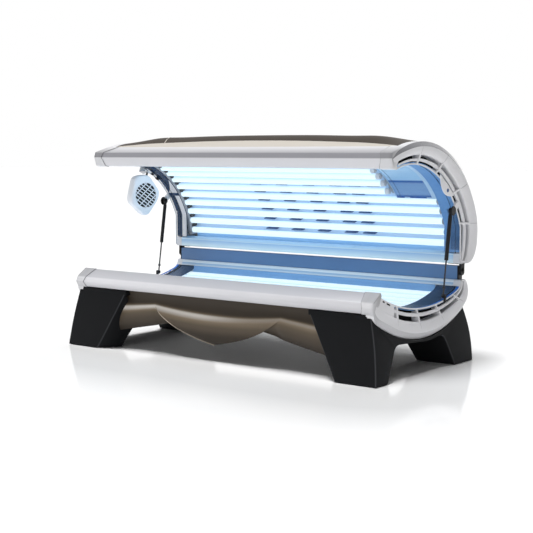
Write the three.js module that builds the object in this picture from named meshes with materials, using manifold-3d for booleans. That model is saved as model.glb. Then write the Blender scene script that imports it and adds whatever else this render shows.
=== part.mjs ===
import * as THREE from 'three';
import { mergeVertices } from 'three/addons/utils/BufferGeometryUtils.js';
import Module from 'manifold-3d';

const wasm = await Module();
wasm.setup();

// Driving dimensions in millimetres. X runs along the bed, +Y towards the hinge, Z up from the floor.
// Y = 0 is the middle of the bench dish until the whole object is centred at the end.
const lampLength = 1900;
const lampRadius = 19;
const lampPitch = 65;
const endRoom = 95;
const capDepth = 45;
const capBulge = 25;
const wall = 4;
const panelWall = 3;
const gap = 0.3;
const facetRoom = 0.8;

// Bench: the lying dish, the hull below it and the two rails. Rail points are offsets from the dish's edge.
const dishRadius = 1091;
const dishLowZ = 341;
const hullRadius = 856;
const hullDepth = 159;
const hullY = -36;
const benchFrontY = -455;
const benchRearY = 374;
const benchSheet = 5;
const benchLamps = 12;
const railOffsets = [[15, 16], [-53, -30], [-64, -58], [-47, -88]];
const rearRailRise = 43;

// Legs and skirt.
const padHeight = 4;
const padInset = 10;
const legFlare = 45;
const legFootWidth = 242;
const legHeadWidth = 380;
const legFrontSplay = 61;
const legFrontDepth = 114;
const legRearInset = 124;
const legRearDepth = 200;
const archTopZ = 168;
const skirtInset = 26;
const sailHalf = 440;

// Hinge and gas struts.
const hingeInset = 38;
const hingeRise = 45;
const hingePin = 7;
const pinClearance = 0.5;
const beamDepth = 44;
const beamHeight = 76;
const strutX = 5;
const strutLowInset = 179;
const strutLowRise = 21.4;
const strutHighInset = 45;
const strutHighAngle = 36.3;
const strutPin = 5;
const strutPlay = 5.5;
const rodRadius = 4.5;
const tubeRadius = 11;

// Canopy, drawn open. It stands on its foot over the hinge.
const archRadius = 550;
const archStart = 107.5;
const archEnd = 22;
const archFootRise = 4;
const footInset = 44;
const footRise = 45;
const footWidth = 80;
const rimLean = 39;
const hoodRoom = 83;
const hoodBack = 93;
const hoodRise = 36;
const hoodStart = 118.3;
const hoodEnd = 25;
const hoodCrown = 40;
const hoodRailOffsets = [[-39, 86], [-48, 58], [-30, 8], [-6, 4]];
const longLamps = 5;
const shortLamps = 9;
const firstLampAngle = 10.8;
const faceLength = 255;

// Fans.
const coolFan = 180;
const bodyFan = 150;
const bodyFanDepth = 85;
const bodyFanTurn = 12;
const bodyFanInset = 176;
const bodyFanAngle = 67.5;
const coolFanInset = 400;

const rad = Math.PI / 180;
const rimHalf = lampLength / 2 + endRoom;
const midHalf = rimHalf - capDepth;
const midEnd = midHalf - gap;
const dishZ = dishLowZ + dishRadius;
const hullLowZ = dishLowZ - hullDepth;
const hullZ = hullLowZ + hullRadius;
const dishHeight = (y) => dishZ - Math.sqrt(dishRadius ** 2 - y ** 2);
const dishFrontZ = dishHeight(benchFrontY);
const railPoints = railOffsets.map(([y, z]) => [benchFrontY + y, dishFrontZ + z]);
const [railTop, railNose, railFront, railFoot] = railPoints;
const rearRailZ = dishHeight(benchRearY) + rearRailRise;
const legFrontHeadY = railFoot[0] + 15;
const legFrontFootY = legFrontHeadY - legFrontSplay;
const legRearFrontY = benchRearY - legRearInset;
const skirtTopY = railFoot[0] + skirtInset;
const hingeY = benchRearY + hingeInset;
const hingeZ = rearRailZ + hingeRise;
const beamTopZ = rearRailZ + beamHeight;
const hoodFootZ = hingeZ + footRise;
const rimFootY = hingeY - footInset;
const hoodFootY = rimFootY + footWidth;
const archY = rimFootY + rimLean - archRadius;
const archZ = hoodFootZ - archFootRise;
const onArch = (radius, angle) => [
  archY + radius * Math.cos(angle * rad),
  archZ + radius * Math.sin(angle * rad),
];
const hoodY = archY + hoodBack;
const hoodZ = archZ + hoodRise;
const hoodRadius = archRadius + hoodRoom;
const strutLowY = benchRearY - strutLowInset;
const strutLow = [strutLowY, dishHeight(strutLowY) + strutLowRise];
const strutHigh = onArch(archRadius - strutHighInset, strutHighAngle);
const bodyFanPlace = onArch(archRadius - bodyFanInset, bodyFanAngle);

// Finishes.
const paint = (colour, roughness, metalness) =>
  new THREE.MeshStandardMaterial({ color: colour, roughness, metalness });
const silver = paint(0xd0d1d8, 0.4, 0.2);
const capGrey = paint(0xd6d6da, 0.5, 0.0);
const black = paint(0x28282a, 0.6, 0.0);
const bronze = paint(0x6e6153, 0.35, 0.5);
const brown = paint(0x4c4239, 0.4, 0.4);
const champagne = paint(0xcdc2b2, 0.4, 0.4);
const clear = paint(0xcfe8f8, 0.05, 0.0);
const mirror = paint(0x9cc3ea, 0.2, 0.8);
const tube = paint(0xe6f8ff, 0.3, 0.0);
const navy = paint(0x3f5a80, 0.4, 0.1);
const filter = paint(0x3f7fc4, 0.1, 0.0);
const steel = paint(0x9a9da1, 0.3, 0.9);
const sheet = paint(0xb4b7bb, 0.5, 0.6);
const rubber = paint(0x1d1d1e, 0.9, 0.0);
const podWhite = paint(0xdfeaf4, 0.4, 0.0);

// Solid helpers.
function volumeOf(points, faces) {
  let sum = 0;
  const cross = new THREE.Vector3();
  for (let k = 0; k < faces.length; k += 3) {
    cross.crossVectors(points[faces[k + 1]], points[faces[k + 2]]);
    sum += points[faces[k]].dot(cross);
  }
  return sum;
}

function meshFrom(points, faces) {
  if (volumeOf(points, faces) < 0) {
    faces.reverse();
  }
  const geometry = new THREE.BufferGeometry();
  const flat = points.flatMap((p) => [p.x, p.y, p.z]);
  geometry.setAttribute('position', new THREE.Float32BufferAttribute(flat, 3));
  geometry.setIndex(faces);
  return geometry;
}

// A solid through closed rings of equal count; flatten gives the plane coordinates of the two lids.
function loft(rings, flatten) {
  const lid = (ring) => ring.map((p) => flatten(p));
  if (THREE.ShapeUtils.area(lid(rings[0])) < 0) {
    rings.forEach((ring) => ring.reverse());
  }
  const count = rings[0].length;
  const faces = [];
  for (let r = 0; r + 1 < rings.length; r += 1) {
    for (let k = 0; k < count; k += 1) {
      const a = r * count + k;
      const b = r * count + ((k + 1) % count);
      faces.push(a, b, b + count);
      faces.push(a, b + count, a + count);
    }
  }
  const last = (rings.length - 1) * count;
  for (const [a, b, c] of THREE.ShapeUtils.triangulateShape(lid(rings[0]), [])) {
    faces.push(c, b, a);
  }
  for (const [a, b, c] of THREE.ShapeUtils.triangulateShape(lid(rings.at(-1)), [])) {
    faces.push(last + a, last + b, last + c);
  }
  return meshFrom(rings.flat(), faces);
}

const crossPlane = (p) => new THREE.Vector2(p.y, p.z);
const plan = (p) => new THREE.Vector2(p.x, p.y);
const at = (x, [y, z]) => new THREE.Vector3(x, y, z);

// A cross-section in Y and Z carried from one X to another.
function alongX(section, x0, x1) {
  const rings = [x0, x1].map((x) => section.map((p) => at(x, p)));
  return loft(rings, crossPlane);
}

// Turned solid about Z from a list of radius and height pairs.
function turned(profile, sides) {
  const rings = profile.map(([radius, height]) => {
    const ring = [];
    for (let k = 0; k < sides; k += 1) {
      const a = (k * 2 * Math.PI) / sides;
      ring.push(new THREE.Vector3(radius * Math.cos(a), radius * Math.sin(a), height));
    }
    return ring;
  });
  return loft(rings, plan);
}

function aim(geometry, from, direction) {
  const turn = new THREE.Quaternion();
  turn.setFromUnitVectors(new THREE.Vector3(0, 0, 1), direction.clone().normalize());
  const frame = new THREE.Matrix4().compose(from, turn, new THREE.Vector3(1, 1, 1));
  return geometry.applyMatrix4(frame);
}

const xAxis = new THREE.Vector3(1, 0, 0);
const pinAlongX = (radius, x0, x1, [y, z], sides) =>
  aim(turned([[radius, 0], [radius, x1 - x0]], sides), new THREE.Vector3(x0, y, z), xAxis);

function box(x0, x1, y0, y1, z0, z1) {
  const geometry = new THREE.BoxGeometry(x1 - x0, y1 - y0, z1 - z0);
  return geometry.translate((x0 + x1) / 2, (y0 + y1) / 2, (z0 + z1) / 2);
}

function solid(geometry) {
  const bare = geometry.clone();
  bare.deleteAttribute('normal');
  bare.deleteAttribute('uv');
  const merged = mergeVertices(bare, 1e-4);
  const vertProperties = new Float32Array(merged.attributes.position.array);
  const triVerts = new Uint32Array(merged.index.array);
  return new wasm.Manifold(new wasm.Mesh({ numProp: 3, vertProperties, triVerts }));
}

function meshOf(body) {
  const { vertProperties, triVerts } = body.getMesh();
  const geometry = new THREE.BufferGeometry();
  geometry.setAttribute('position', new THREE.BufferAttribute(new Float32Array(vertProperties), 3));
  geometry.setIndex(new THREE.BufferAttribute(new Uint32Array(triVerts), 1));
  return geometry;
}

const join = (...parts) => meshOf(parts.map(solid).reduce((a, b) => a.add(b)));
const cut = (base, ...tools) => meshOf(tools.map(solid).reduce((a, b) => a.subtract(b), solid(base)));

function mirrored(geometry) {
  const copy = geometry.clone().scale(-1, 1, 1);
  const index = copy.index.array;
  for (let k = 0; k < index.length; k += 3) {
    [index[k], index[k + 1]] = [index[k + 1], index[k]];
  }
  return copy;
}

// Cross-section helpers, all in Y and Z.
function arc(y, z, radius, from, to, steps) {
  const points = [];
  for (let k = 0; k <= steps; k += 1) {
    const a = (from + ((to - from) * k) / steps) * rad;
    points.push([y + radius * Math.cos(a), z + radius * Math.sin(a)]);
  }
  return points;
}

// Shifts an open line to its left by the given distance, mitred at the corners.
function shifted(line, distance) {
  const normals = [];
  for (let k = 0; k + 1 < line.length; k += 1) {
    const dy = line[k + 1][0] - line[k][0];
    const dz = line[k + 1][1] - line[k][1];
    const size = Math.hypot(dy, dz);
    normals.push([-dz / size, dy / size]);
  }
  return line.map(([y, z], k) => {
    const a = normals[Math.max(k - 1, 0)];
    const b = normals[Math.min(k, normals.length - 1)];
    const grow = distance / (1 + a[0] * b[0] + a[1] * b[1]);
    return [y + (a[0] + b[0]) * grow, z + (a[1] + b[1]) * grow];
  });
}

// Closed strip between two shifts of one line.
const strip = (line, near, far) => [...shifted(line, near), ...shifted(line, far).reverse()];

const dishAngle = (y, radius) => Math.asin(y / radius) / rad - 90;
const hullAngle = (y) => Math.asin((y - hullY) / hullRadius) / rad - 90;
const dishLine = (radius, y0, y1, steps) =>
  arc(0, dishZ, radius, dishAngle(y0, radius), dishAngle(y1, radius), steps);
const pointsOf = (path, steps) => path.getSpacedPoints(steps).map((p) => [p.x, p.y]);

const root = new THREE.Group();
function add(name, geometry, material) {
  const mesh = new THREE.Mesh(geometry, material);
  mesh.name = name;
  root.add(mesh);
}
function addPair(name, geometry, material) {
  add(`right_${name}`, geometry, material);
  add(`left_${name}`, mirrored(geometry), material);
}

// End caps. A cap runs along two paths in Y and Z: the rim path and the outer path. A section point is
// the distance from the rim path, as a part of the width plus millimetres, and the height over the rim.
function capTools(rimPath, outerPath) {
  const point = (t, share, extra, rise) => {
    const a = rimPath.getPointAt(t);
    const b = outerPath.getPointAt(t);
    const d = share + extra / a.distanceTo(b);
    return new THREE.Vector3(rimHalf + rise, a.x + (b.x - a.x) * d, a.y + (b.y - a.y) * d);
  };
  const sweep = (section, t0, t1, steps) => {
    const rings = [];
    for (let k = 0; k <= steps; k += 1) {
      const t = t0 + ((t1 - t0) * k) / steps;
      rings.push(section.map(([share, extra, rise]) => point(t, share, extra, rise)));
    }
    const flat = new Map();
    rings.forEach((ring) => ring.forEach((p, k) => {
      const [share, extra, rise] = section[k];
      flat.set(p, new THREE.Vector2(share * 200 + extra, rise));
    }));
    return loft(rings, (p) => flat.get(p));
  };
  return { point, sweep };
}

const grilleShare = 0.5;
const rimWidth = 12;
const rimRise = 2;
const finReach = 24;
const slatInner = [0.09, 9];
const slatOuter = [0.18, 17];
const slatDepth = 30;
const slatEnd = 0.91;
const finHalf = 4;
const seatX = rimHalf + rimRise + gap;
const sheetEnd = rimHalf - wall - gap;
const holderSet = 14;
const coverSet = holderSet - facetRoom - panelWall;
const rimSection = [
  [0, 0, -wall],
  [0, 0, rimRise / 2],
  [0, rimWidth, rimRise],
  [0, rimWidth, -wall],
];
const bandSection = [
  [grilleShare, 0, -capDepth],
  [grilleShare, 0, 3],
  [grilleShare + 0.07, 0, capBulge * 0.56],
  [grilleShare + 0.2, 0, capBulge * 0.92],
  [0.84, 0, capBulge],
  [0.95, 0, capBulge * 0.8],
  [1, 0, capBulge * 0.3],
  [1, 0, -capDepth],
  [1, -wall, -capDepth],
  [1, -wall, capBulge * 0.3 - 2],
  [0.84, -1, capBulge - wall],
  [grilleShare + 0.2, 1, capBulge * 0.92 - wall],
  [grilleShare, wall, 1],
  [grilleShare, wall, -capDepth],
];
const slatSection = [
  [...slatInner, -slatDepth],
  [...slatInner, -2],
  [...slatOuter, -1],
  [...slatOuter, -slatDepth],
];
const finSection = [
  [0, 0, -wall],
  [0, 0, 1],
  [grilleShare, 2, 2.5],
  [grilleShare, 2, -capDepth],
  [0, finReach, -capDepth],
  [0, finReach, -wall],
];
const endSection = [
  [0, 0, -wall],
  [0, 0, 1],
  [grilleShare, 2, 2],
  [grilleShare + 0.2, 2, capBulge * 0.92 - 2],
  [0.84, 0, capBulge - 2],
  [1, -2, capBulge * 0.3 - 2],
  [1, -2, -capDepth],
  [0, finReach, -capDepth],
  [0, finReach, -wall],
];

function endCap(rimPath, outerPath, fins, steps, returnLine, returnEnd) {
  const { sweep } = capTools(rimPath, outerPath);
  const half = finHalf / rimPath.getLength();
  const pieces = [sweep(rimSection, 0, 1, steps), sweep(bandSection, 0, 1, steps)];
  pieces.push(sweep(slatSection, fins[0], slatEnd, steps - 3));
  pieces.push(sweep(finSection, 0, 3 * half, 1));
  pieces.push(sweep(endSection, 1 - 2 * half, 1, 1));
  for (const t of fins) {
    pieces.push(sweep(finSection, t - half, t + half, 1));
  }
  const raised = shifted(returnLine, -panelWall);
  pieces.push(alongX([...raised, ...shifted(returnLine, wall).reverse()], midHalf, returnEnd));
  pieces.push(alongX(raised, returnEnd - wall, returnEnd));
  return join(...pieces);
}

// Bench paths.
const benchRimPath = new THREE.Path();
const dishFrom = dishAngle(benchFrontY, dishRadius) * rad;
const dishTo = dishAngle(benchRearY - 39, dishRadius) * rad;
benchRimPath.absarc(0, dishZ, dishRadius, dishFrom, dishTo);
benchRimPath.quadraticCurveTo(benchRearY + 6, rearRailZ - 42, benchRearY + 18, rearRailZ);
const benchLine = (shift, share, steps) => {
  const line = [];
  for (let k = 0; k <= steps; k += 1) {
    const p = benchRimPath.getPointAt((share * k) / steps);
    line.push([p.x, p.y]);
  }
  return shifted(line, -shift);
};
const hullFrontY = railFoot[0] + 32;
const hullRearY = benchRearY + 6;
const benchOuterPath = new THREE.Path();
benchOuterPath.moveTo(railFoot[0] - 4, railFoot[1] - 2);
const hullFront = arc(hullY, hullZ, hullRadius, hullAngle(hullFrontY), hullAngle(hullFrontY), 1)[0];
benchOuterPath.quadraticCurveTo(railFoot[0] + 2, hullFront[1] + 18, hullFront[0], hullFront[1]);
benchOuterPath.absarc(
  hullY, hullZ, hullRadius, hullAngle(hullFrontY) * rad, hullAngle(hullRearY) * rad,
);
const backY = benchRearY + 84;
benchOuterPath.bezierCurveTo(backY - 34, rearRailZ - 134, backY + 8, rearRailZ - 80, backY, rearRailZ - 48);
benchOuterPath.quadraticCurveTo(backY - 8, rearRailZ - 10, backY - 32, rearRailZ);

const frontRailLine = [[railTop[0] + 6, railTop[1] - 18], railTop, railNose, railFront, railFoot];
frontRailLine.push([railFoot[0] + 28, railFoot[1]]);
const benchFins = [0.2, 0.42, 0.64, 0.855];
const benchCap = endCap(benchRimPath, benchOuterPath, benchFins, 10, frontRailLine, rimHalf + 17);
addPair('bench_end_cap', benchCap, capGrey);

// Bench rails, tub, skirt.
add('bench_front_rail', alongX(strip(frontRailLine, 0, wall), -midEnd, midEnd), silver);
const hullRear = arc(hullY, hullZ, hullRadius, hullAngle(hullRearY + 30), hullAngle(hullRearY + 30), 1)[0];
const rearRailLine = [[benchRearY - 1, rearRailZ - 34], [benchRearY + 12, rearRailZ]];
rearRailLine.push([backY - 22, rearRailZ], [backY - 6, rearRailZ - 20], [backY - 1, rearRailZ - 50]);
rearRailLine.push([backY - 14, rearRailZ - 104]);
rearRailLine.push([hullRear[0] + 2, hullRear[1] + wall]);
add('bench_rear_rail', alongX(strip(rearRailLine, 0, -wall), -midEnd, midEnd), silver);

const tubFrontY = railFoot[0] + 62;
const tubLine = [[tubFrontY, railFoot[1] - 4]];
const hullLine = arc(hullY, hullZ, hullRadius, hullAngle(tubFrontY), hullAngle(hullRearY + 22), 14);
tubLine.push(...hullLine);
const fanX = coolFanInset - midHalf;
const tubHole = aim(
  turned([[coolFan / 2, 0], [coolFan / 2, 80]], 20),
  new THREE.Vector3(fanX, 0, hullLowZ - 40),
  new THREE.Vector3(0, 0, 1),
);
add('bench_tub', cut(alongX(strip(tubLine, 0, panelWall), -midEnd, midEnd), tubHole), sheet);
const underLine = shifted(hullLine, panelWall + gap);
underLine.push([underLine.at(-1)[0], hullLowZ - 90], [underLine[0][0], hullLowZ - 90]);
const underTub = alongX(underLine, -rimHalf, rimHalf);

// Legs: tapered front and rear legs and the bridge, cut to sit under the hull.
function legBlock(xIn, xOut, yFront, yRear) {
  const rings = [padHeight, legHeadZ].map((z) => [
    new THREE.Vector3(xIn(z), yFront(z), z),
    new THREE.Vector3(xOut(z), yFront(z), z),
    new THREE.Vector3(xOut(z), yRear(z), z),
    new THREE.Vector3(xIn(z), yRear(z), z),
  ]);
  return loft(rings, plan);
}

const legHeadZ = railFoot[1] - 1;
const footX = rimHalf + legFlare;
const headX = rimHalf - 19;
const lean = (a, b, z) => a + ((b - a) * z) / legHeadZ;
const legIn = (z, extra) => lean(footX - legFootWidth, headX - legHeadWidth, z) - extra;
const legOut = (z) => lean(footX, headX, z);
const archSlope = 0.63;
const frontLeg = (extra) => legBlock(
  (z) => legIn(z, extra),
  legOut,
  (z) => lean(legFrontFootY, legFrontHeadY, z),
  (z) => legFrontFootY + legFrontDepth + archSlope * z,
);
const rearLeg = legBlock(
  (z) => legIn(z * 0.6, 0),
  legOut,
  (z) => legRearFrontY - 0.55 * z,
  (z) => legRearFrontY + legRearDepth - 0.06 * z,
);
const bridge = box(legIn(archTopZ, 0), headX, legFrontFootY + 130, legRearFrontY - 40, archTopZ, legHeadZ);
const hullCut = shifted(hullLine, -gap);
hullCut[0][0] = tubFrontY - gap;
hullCut.push([600, hullCut.at(-1)[1]], [600, 700], [tubFrontY - gap, 700]);
const hullTool = alongX(hullCut, -2 * rimHalf, 2 * rimHalf);
const capCut = shifted(pointsOf(benchOuterPath, 20), -2);
capCut.push([600, capCut.at(-1)[1]], [600, 700], [capCut[0][0], 700]);
const capTool = alongX(capCut, midHalf - gap, 2 * rimHalf);
const legFrame = cut(join(frontLeg(0), rearLeg, bridge), hullTool, capTool);
addPair('leg_frame', legFrame, black);

const pad = (y0, y1) => box(footX - legFootWidth + padInset, footX - padInset, y0, y1, 0, padHeight - gap);
const frontPad = pad(legFrontFootY + padInset, legFrontFootY + legFrontDepth - padInset);
const rearPad = pad(legRearFrontY + padInset, legRearFrontY + legRearDepth - padInset);
addPair('front_foot_pad', frontPad, rubber);
addPair('rear_foot_pad', rearPad, rubber);

// Front skirt: hollow upper band, wavy crease, and a lower band that dips to the sail in the middle.
const skirtEnd = legIn(80, 0);
const smooth = (a, b, v) => {
  const s = Math.min(Math.max((v - a) / (b - a), 0), 1);
  return s * s * (3 - 2 * s);
};
const creaseZ = (x) => {
  const d = Math.abs(x);
  return d < sailHalf
    ? 246 + 30 * (d / sailHalf) ** 2
    : 276 - 0.1 * (d - sailHalf);
};
const hemZ = (x) => {
  const d = Math.abs(x);
  const join1 = sailHalf - 110;
  return d < join1 ? 95 + 91 * (d / join1) ** 1.15 : 186 - 0.19 * (d - join1);
};
const sailOut = (x) => 14 * (1 - smooth(sailHalf - 130, sailHalf, Math.abs(x)));
const skirtRings = [];
const skirtSteps = 20;
for (let k = 0; k <= skirtSteps; k += 1) {
  const x = -skirtEnd + (2 * skirtEnd * k) / skirtSteps;
  const crease = creaseZ(x);
  const hem = hemZ(x);
  const out = sailOut(x);
  const top = railFoot[1] - 2;
  const line = [
    [skirtTopY, top],
    [skirtTopY + 14, top - (top - crease) * 0.5],
    [skirtTopY + 4, crease],
    [skirtTopY + 3 - out * 0.6, crease - (crease - hem) * 0.3],
    [skirtTopY + 12 - out, crease - (crease - hem) * 0.7],
    [skirtTopY + 30 - out, hem],
  ];
  skirtRings.push(strip(line, 0, panelWall).map((p) => at(x, p)));
}
const skirtBody = loft(skirtRings, crossPlane);
const skirtFit = frontLeg(gap);
add('front_skirt', cut(skirtBody, skirtFit, mirrored(skirtFit)), bronze);

// Bench interior.
const lampShare = (k, count) => ((k - (count - 1) / 2) * lampPitch);
const sheetTop = dishRadius + 2;
const lampLine = sheetTop + benchSheet + 13 + lampRadius;
const holderDepth = 34;
const holderX = lampLength / 2 - 6;
const benchSheetLine = benchLine(2, 0.955, 20);
add('bench_acrylic', alongX(strip(benchSheetLine, 0, -benchSheet), -sheetEnd, sheetEnd), clear);

const reflectorSet = 27;
const reflectorLine = dishLine(lampLine + reflectorSet, benchFrontY + 50, benchRearY - 19, 16);
add('bench_reflector', alongX(strip(reflectorLine, 0, -2), -holderX + gap, holderX - gap), mirror);

const lampTube = (length, sides) => turned([[lampRadius, 0], [lampRadius, length]], sides);
const lampAt = (x0, [y, z], length, sides) =>
  aim(lampTube(length, sides), new THREE.Vector3(x0, y, z), xAxis);
const benchLampAt = (k) => {
  const a = lampShare(k, benchLamps) / lampLine - Math.PI / 2;
  return [lampLine * Math.cos(a), dishZ + lampLine * Math.sin(a)];
};
const benchHolderHalf = ((benchLamps + 0.3) / 2) * lampPitch;
const benchHolderLine = dishLine(dishRadius + holderSet, -benchHolderHalf, benchHolderHalf, 12);
const holderBack = lampLine + reflectorSet + 4 - dishRadius - holderSet;
const benchHolder = alongX(strip(benchHolderLine, 0, -holderBack), holderX, holderX + holderDepth);
const holderFeet = [-130, 100].map((y) =>
  box(holderX, holderX + holderDepth, y, y + 30, hullLowZ - 20, dishLowZ - holderSet - 10));
const holderFrame = cut(join(benchHolder, ...holderFeet), underTub);
const bank = [holderFrame, mirrored(holderFrame)];
for (let k = 0; k < benchLamps; k += 1) {
  bank.push(lampAt(-lampLength / 2, benchLampAt(k), lampLength, 8));
}
add('bench_lamp_bank', join(...bank), tube);

const coverLine = benchLine(coverSet, 0.94, 14).slice(1);
const benchCover = alongX(strip(coverLine, 0, -panelWall), holderX - 4, sheetEnd);
addPair('bench_end_panel', benchCover, navy);

const ballastTop = 46;
const ballastZ = hullLowZ + 30;
const ballasts = [box(0, 640, -140, 130, ballastZ, ballastZ + 4)];
for (let k = 0; k < 5; k += 1) {
  ballasts.push(box(30 + k * 120, 120 + k * 120, -110, 100, ballastZ + 3, ballastZ + ballastTop));
}
for (const y of [-120, 90]) {
  ballasts.push(box(0, 640, y, y + 20, hullLowZ - 10, ballastZ + 1));
}
add('bench_ballast_bank', cut(join(...ballasts), underTub), steel);

// Cooling fan over the hole in the tub.
const fanShaft = 4;
const shaftReach = 10;
function rotorOf(radius, hub, depth, blades) {
  const parts = [turned([[hub, 0], [hub, depth]], 12)];
  for (let k = 0; k < blades; k += 1) {
    const blade = new THREE.BoxGeometry(radius - hub + 4, 26, 3);
    blade.rotateX(28 * rad);
    blade.translate(hub - 4 + (radius - hub + 4) / 2, 0, depth / 2);
    blade.rotateZ((k * 360 * rad) / blades);
    parts.push(blade);
  }
  const bore = turned([[fanShaft + gap, -1], [fanShaft + gap, depth / 2]], 12);
  return cut(join(...parts), bore);
}
const fanZ = hullLowZ + 30;
const fanFrameHalf = coolFan / 2 + 14;
const fanDepth = 46;
const fanUp = new THREE.Vector3(0, 0, 1);
const fanHole = aim(
  turned([[coolFan / 2, -60], [coolFan / 2, fanDepth + 5]], 20),
  new THREE.Vector3(fanX, 0, fanZ),
  fanUp,
);
const fanTop = fanZ + fanDepth;
const fanBlock = box(-fanFrameHalf, fanFrameHalf, -fanFrameHalf, fanFrameHalf, hullLowZ - 10, fanTop);
fanBlock.translate(fanX, 0, 0);
const fanStand = 9;
const fanAt = (geometry) => aim(geometry, new THREE.Vector3(fanX, 0, fanZ), fanUp);
const fanSpider = [
  box(fanX - coolFan / 2 - 4, fanX + coolFan / 2 + 4, -6, 6, fanZ, fanZ + 5),
  box(fanX - 6, fanX + 6, -coolFan / 2 - 4, coolFan / 2 + 4, fanZ, fanZ + 5),
  fanAt(turned([[26, 0], [26, fanStand - gap]], 16)),
  fanAt(turned([[fanShaft, 0], [fanShaft, fanStand + shaftReach]], 12)),
];
add('cooling_fan_frame', join(cut(fanBlock, fanHole, underTub), ...fanSpider), black);
add('cooling_fan_rotor', fanAt(rotorOf(coolFan / 2 - 5, 30, 30, 5).translate(0, 0, fanStand)), black);

// Hinge beam on the rear rail, end stubs with the pins and the canopy's hinge arms.
const beamY0 = hingeY - beamDepth / 2;
const beamY1 = hingeY + beamDepth / 2;
const beamEnd = rimHalf - 28;
const beamZ0 = rearRailZ + gap;
const beamHole = box(
  -rimHalf, rimHalf, beamY0 + panelWall, beamY1 - panelWall, beamZ0 + panelWall, beamTopZ - panelWall,
);
add('hinge_beam', cut(box(-beamEnd, beamEnd, beamY0, beamY1, beamZ0, beamTopZ), beamHole), navy);
const blockIn = panelWall + gap;
const hingeBlock = join(
  box(beamEnd - 60, beamEnd + 4, beamY0 + blockIn, beamY1 - blockIn, beamZ0 + blockIn, beamTopZ - blockIn),
  box(beamEnd + gap, beamEnd + 8, beamY0, beamY1, beamZ0, beamTopZ),
);
const hingeStub = pinAlongX(hingePin, beamEnd - 50, rimHalf - 2, [hingeY, hingeZ], 16);
addPair('hinge_stub', join(hingeBlock, hingeStub), black);

const armX0 = beamEnd + 10;
const armX1 = rimHalf - 5;
const armEye = pinAlongX(22, armX0, armX1, [hingeY, hingeZ], 16);
const armWeb = box(armX0, armX1, hingeY - 20, hingeY + 20, hingeZ, hoodFootZ - gap);
const armFoot = box(armX0 - 70, armX1, hingeY - 20, hingeY + 24, hoodFootZ - 4, hoodFootZ - gap);
const armBore = pinAlongX(hingePin + pinClearance, armX0 - 5, armX1 + 5, [hingeY, hingeZ], 16);
addPair('hinge_arm', cut(join(armEye, armWeb, armFoot), armBore), black);

// Gas struts between the bench rim and the canopy rim.
const strutPlane = rimHalf - strutX;
const eyeHalf = 6;
const bracketX0 = seatX;
const bracketX1 = bracketX0 + 8;
const lowPoint = at(strutPlane, strutLow);
const highPoint = at(strutPlane, strutHigh);
const strutLength = lowPoint.distanceTo(highPoint);
const strutWay = highPoint.clone().sub(lowPoint).normalize();
const strutAxis = (geometry) => aim(geometry, lowPoint, strutWay);
const eyeRing = (radius, point, bore) => [
  pinAlongX(radius, strutPlane - eyeHalf, strutPlane + eyeHalf, point, 14),
  pinAlongX(bore, strutPlane - 2 * eyeHalf, strutPlane + 2 * eyeHalf, point, 14),
];
const tubeStart = 192;
const rodEye = eyeRing(12, strutLow, strutPin + pinClearance);
const rodBody = strutAxis(turned([
  [rodRadius, 9], [rodRadius, 38], [8, 40], [8, 50], [rodRadius, 52],
  [rodRadius, 216], [8.2, 218], [8.2, 230],
], 10));
addPair('strut_rod', cut(join(rodEye[0], rodBody), rodEye[1]), steel);
const tubeBore = tubeRadius - 2.2;
const tubeTop = strutLength - strutPlay - strutPin - 4;
const tubeEye = eyeRing(strutPin + strutPlay + 6.5, strutHigh, strutPin + strutPlay);
const tubeBody = strutAxis(turned([
  [tubeRadius, tubeTop], [tubeRadius, tubeStart], [rodRadius + 0.7, tubeStart],
  [rodRadius + 0.7, tubeStart + 15], [tubeBore, tubeStart + 15], [tubeBore, tubeTop - 28],
], 12));
addPair('strut_cylinder', cut(join(tubeEye[0], tubeBody), tubeEye[1]), black);

const studHalf = 14;
const studFoot = box(bracketX0, bracketX1, -studHalf, studHalf, -40, 0);
studFoot.translate(0, strutLow[0], strutLow[1]);
const studHead = pinAlongX(studHalf, bracketX0, bracketX1, strutLow, 16);
const studPin = pinAlongX(strutPin, strutPlane - eyeHalf - 4, bracketX1 - 1, strutLow, 14);
addPair('strut_stud', join(studFoot, studHead, studPin), black);

const plateX0 = strutPlane + tubeRadius + 1.5;
const plateX1 = plateX0 + 8;
const bracketPiece = (x0, r0) => {
  const piece = box(x0, plateX1, r0, archRadius + finReach, -17, 17);
  return piece.rotateX(strutHighAngle * rad).translate(0, archY, archZ);
};
const bracketDisc = pinAlongX(26, plateX0, plateX1, strutHigh, 18);
const bracketPin = pinAlongX(strutPin, strutPlane - eyeHalf - 4, plateX1 - 1, strutHigh, 14);
const plateReach = archRadius - strutHighInset;
const bracketBody = [bracketPiece(bracketX0, archRadius - 16), bracketPiece(plateX0, plateReach)];
addPair('strut_bracket', join(...bracketBody, bracketDisc, bracketPin), black);

// Canopy paths and caps.
const archRimPath = new THREE.Path();
archRimPath.absarc(archY, archZ, archRadius, archStart * rad, archEnd * rad, true);
archRimPath.lineTo(rimFootY, hoodFootZ + 12);
const hoodOuterPath = new THREE.Path();
hoodOuterPath.absarc(hoodY, hoodZ, hoodRadius, hoodStart * rad, hoodEnd * rad, true);
const hoodRear = new THREE.Vector2();
hoodRear.set(hoodY + hoodRadius * Math.cos(hoodEnd * rad), hoodZ + hoodRadius * Math.sin(hoodEnd * rad));
const hoodBend = new THREE.CubicBezierCurve(
  hoodRear,
  new THREE.Vector2(hoodRear.x + 52, hoodRear.y - 100),
  new THREE.Vector2(hoodFootY + 120, hoodFootZ + 8),
  new THREE.Vector2(hoodFootY, hoodFootZ),
);
hoodOuterPath.bezierCurveTo(
  hoodBend.v1.x, hoodBend.v1.y, hoodBend.v2.x, hoodBend.v2.y, hoodBend.v3.x, hoodBend.v3.y,
);
hoodOuterPath.lineTo(hoodFootY - 28, hoodFootZ);

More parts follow.
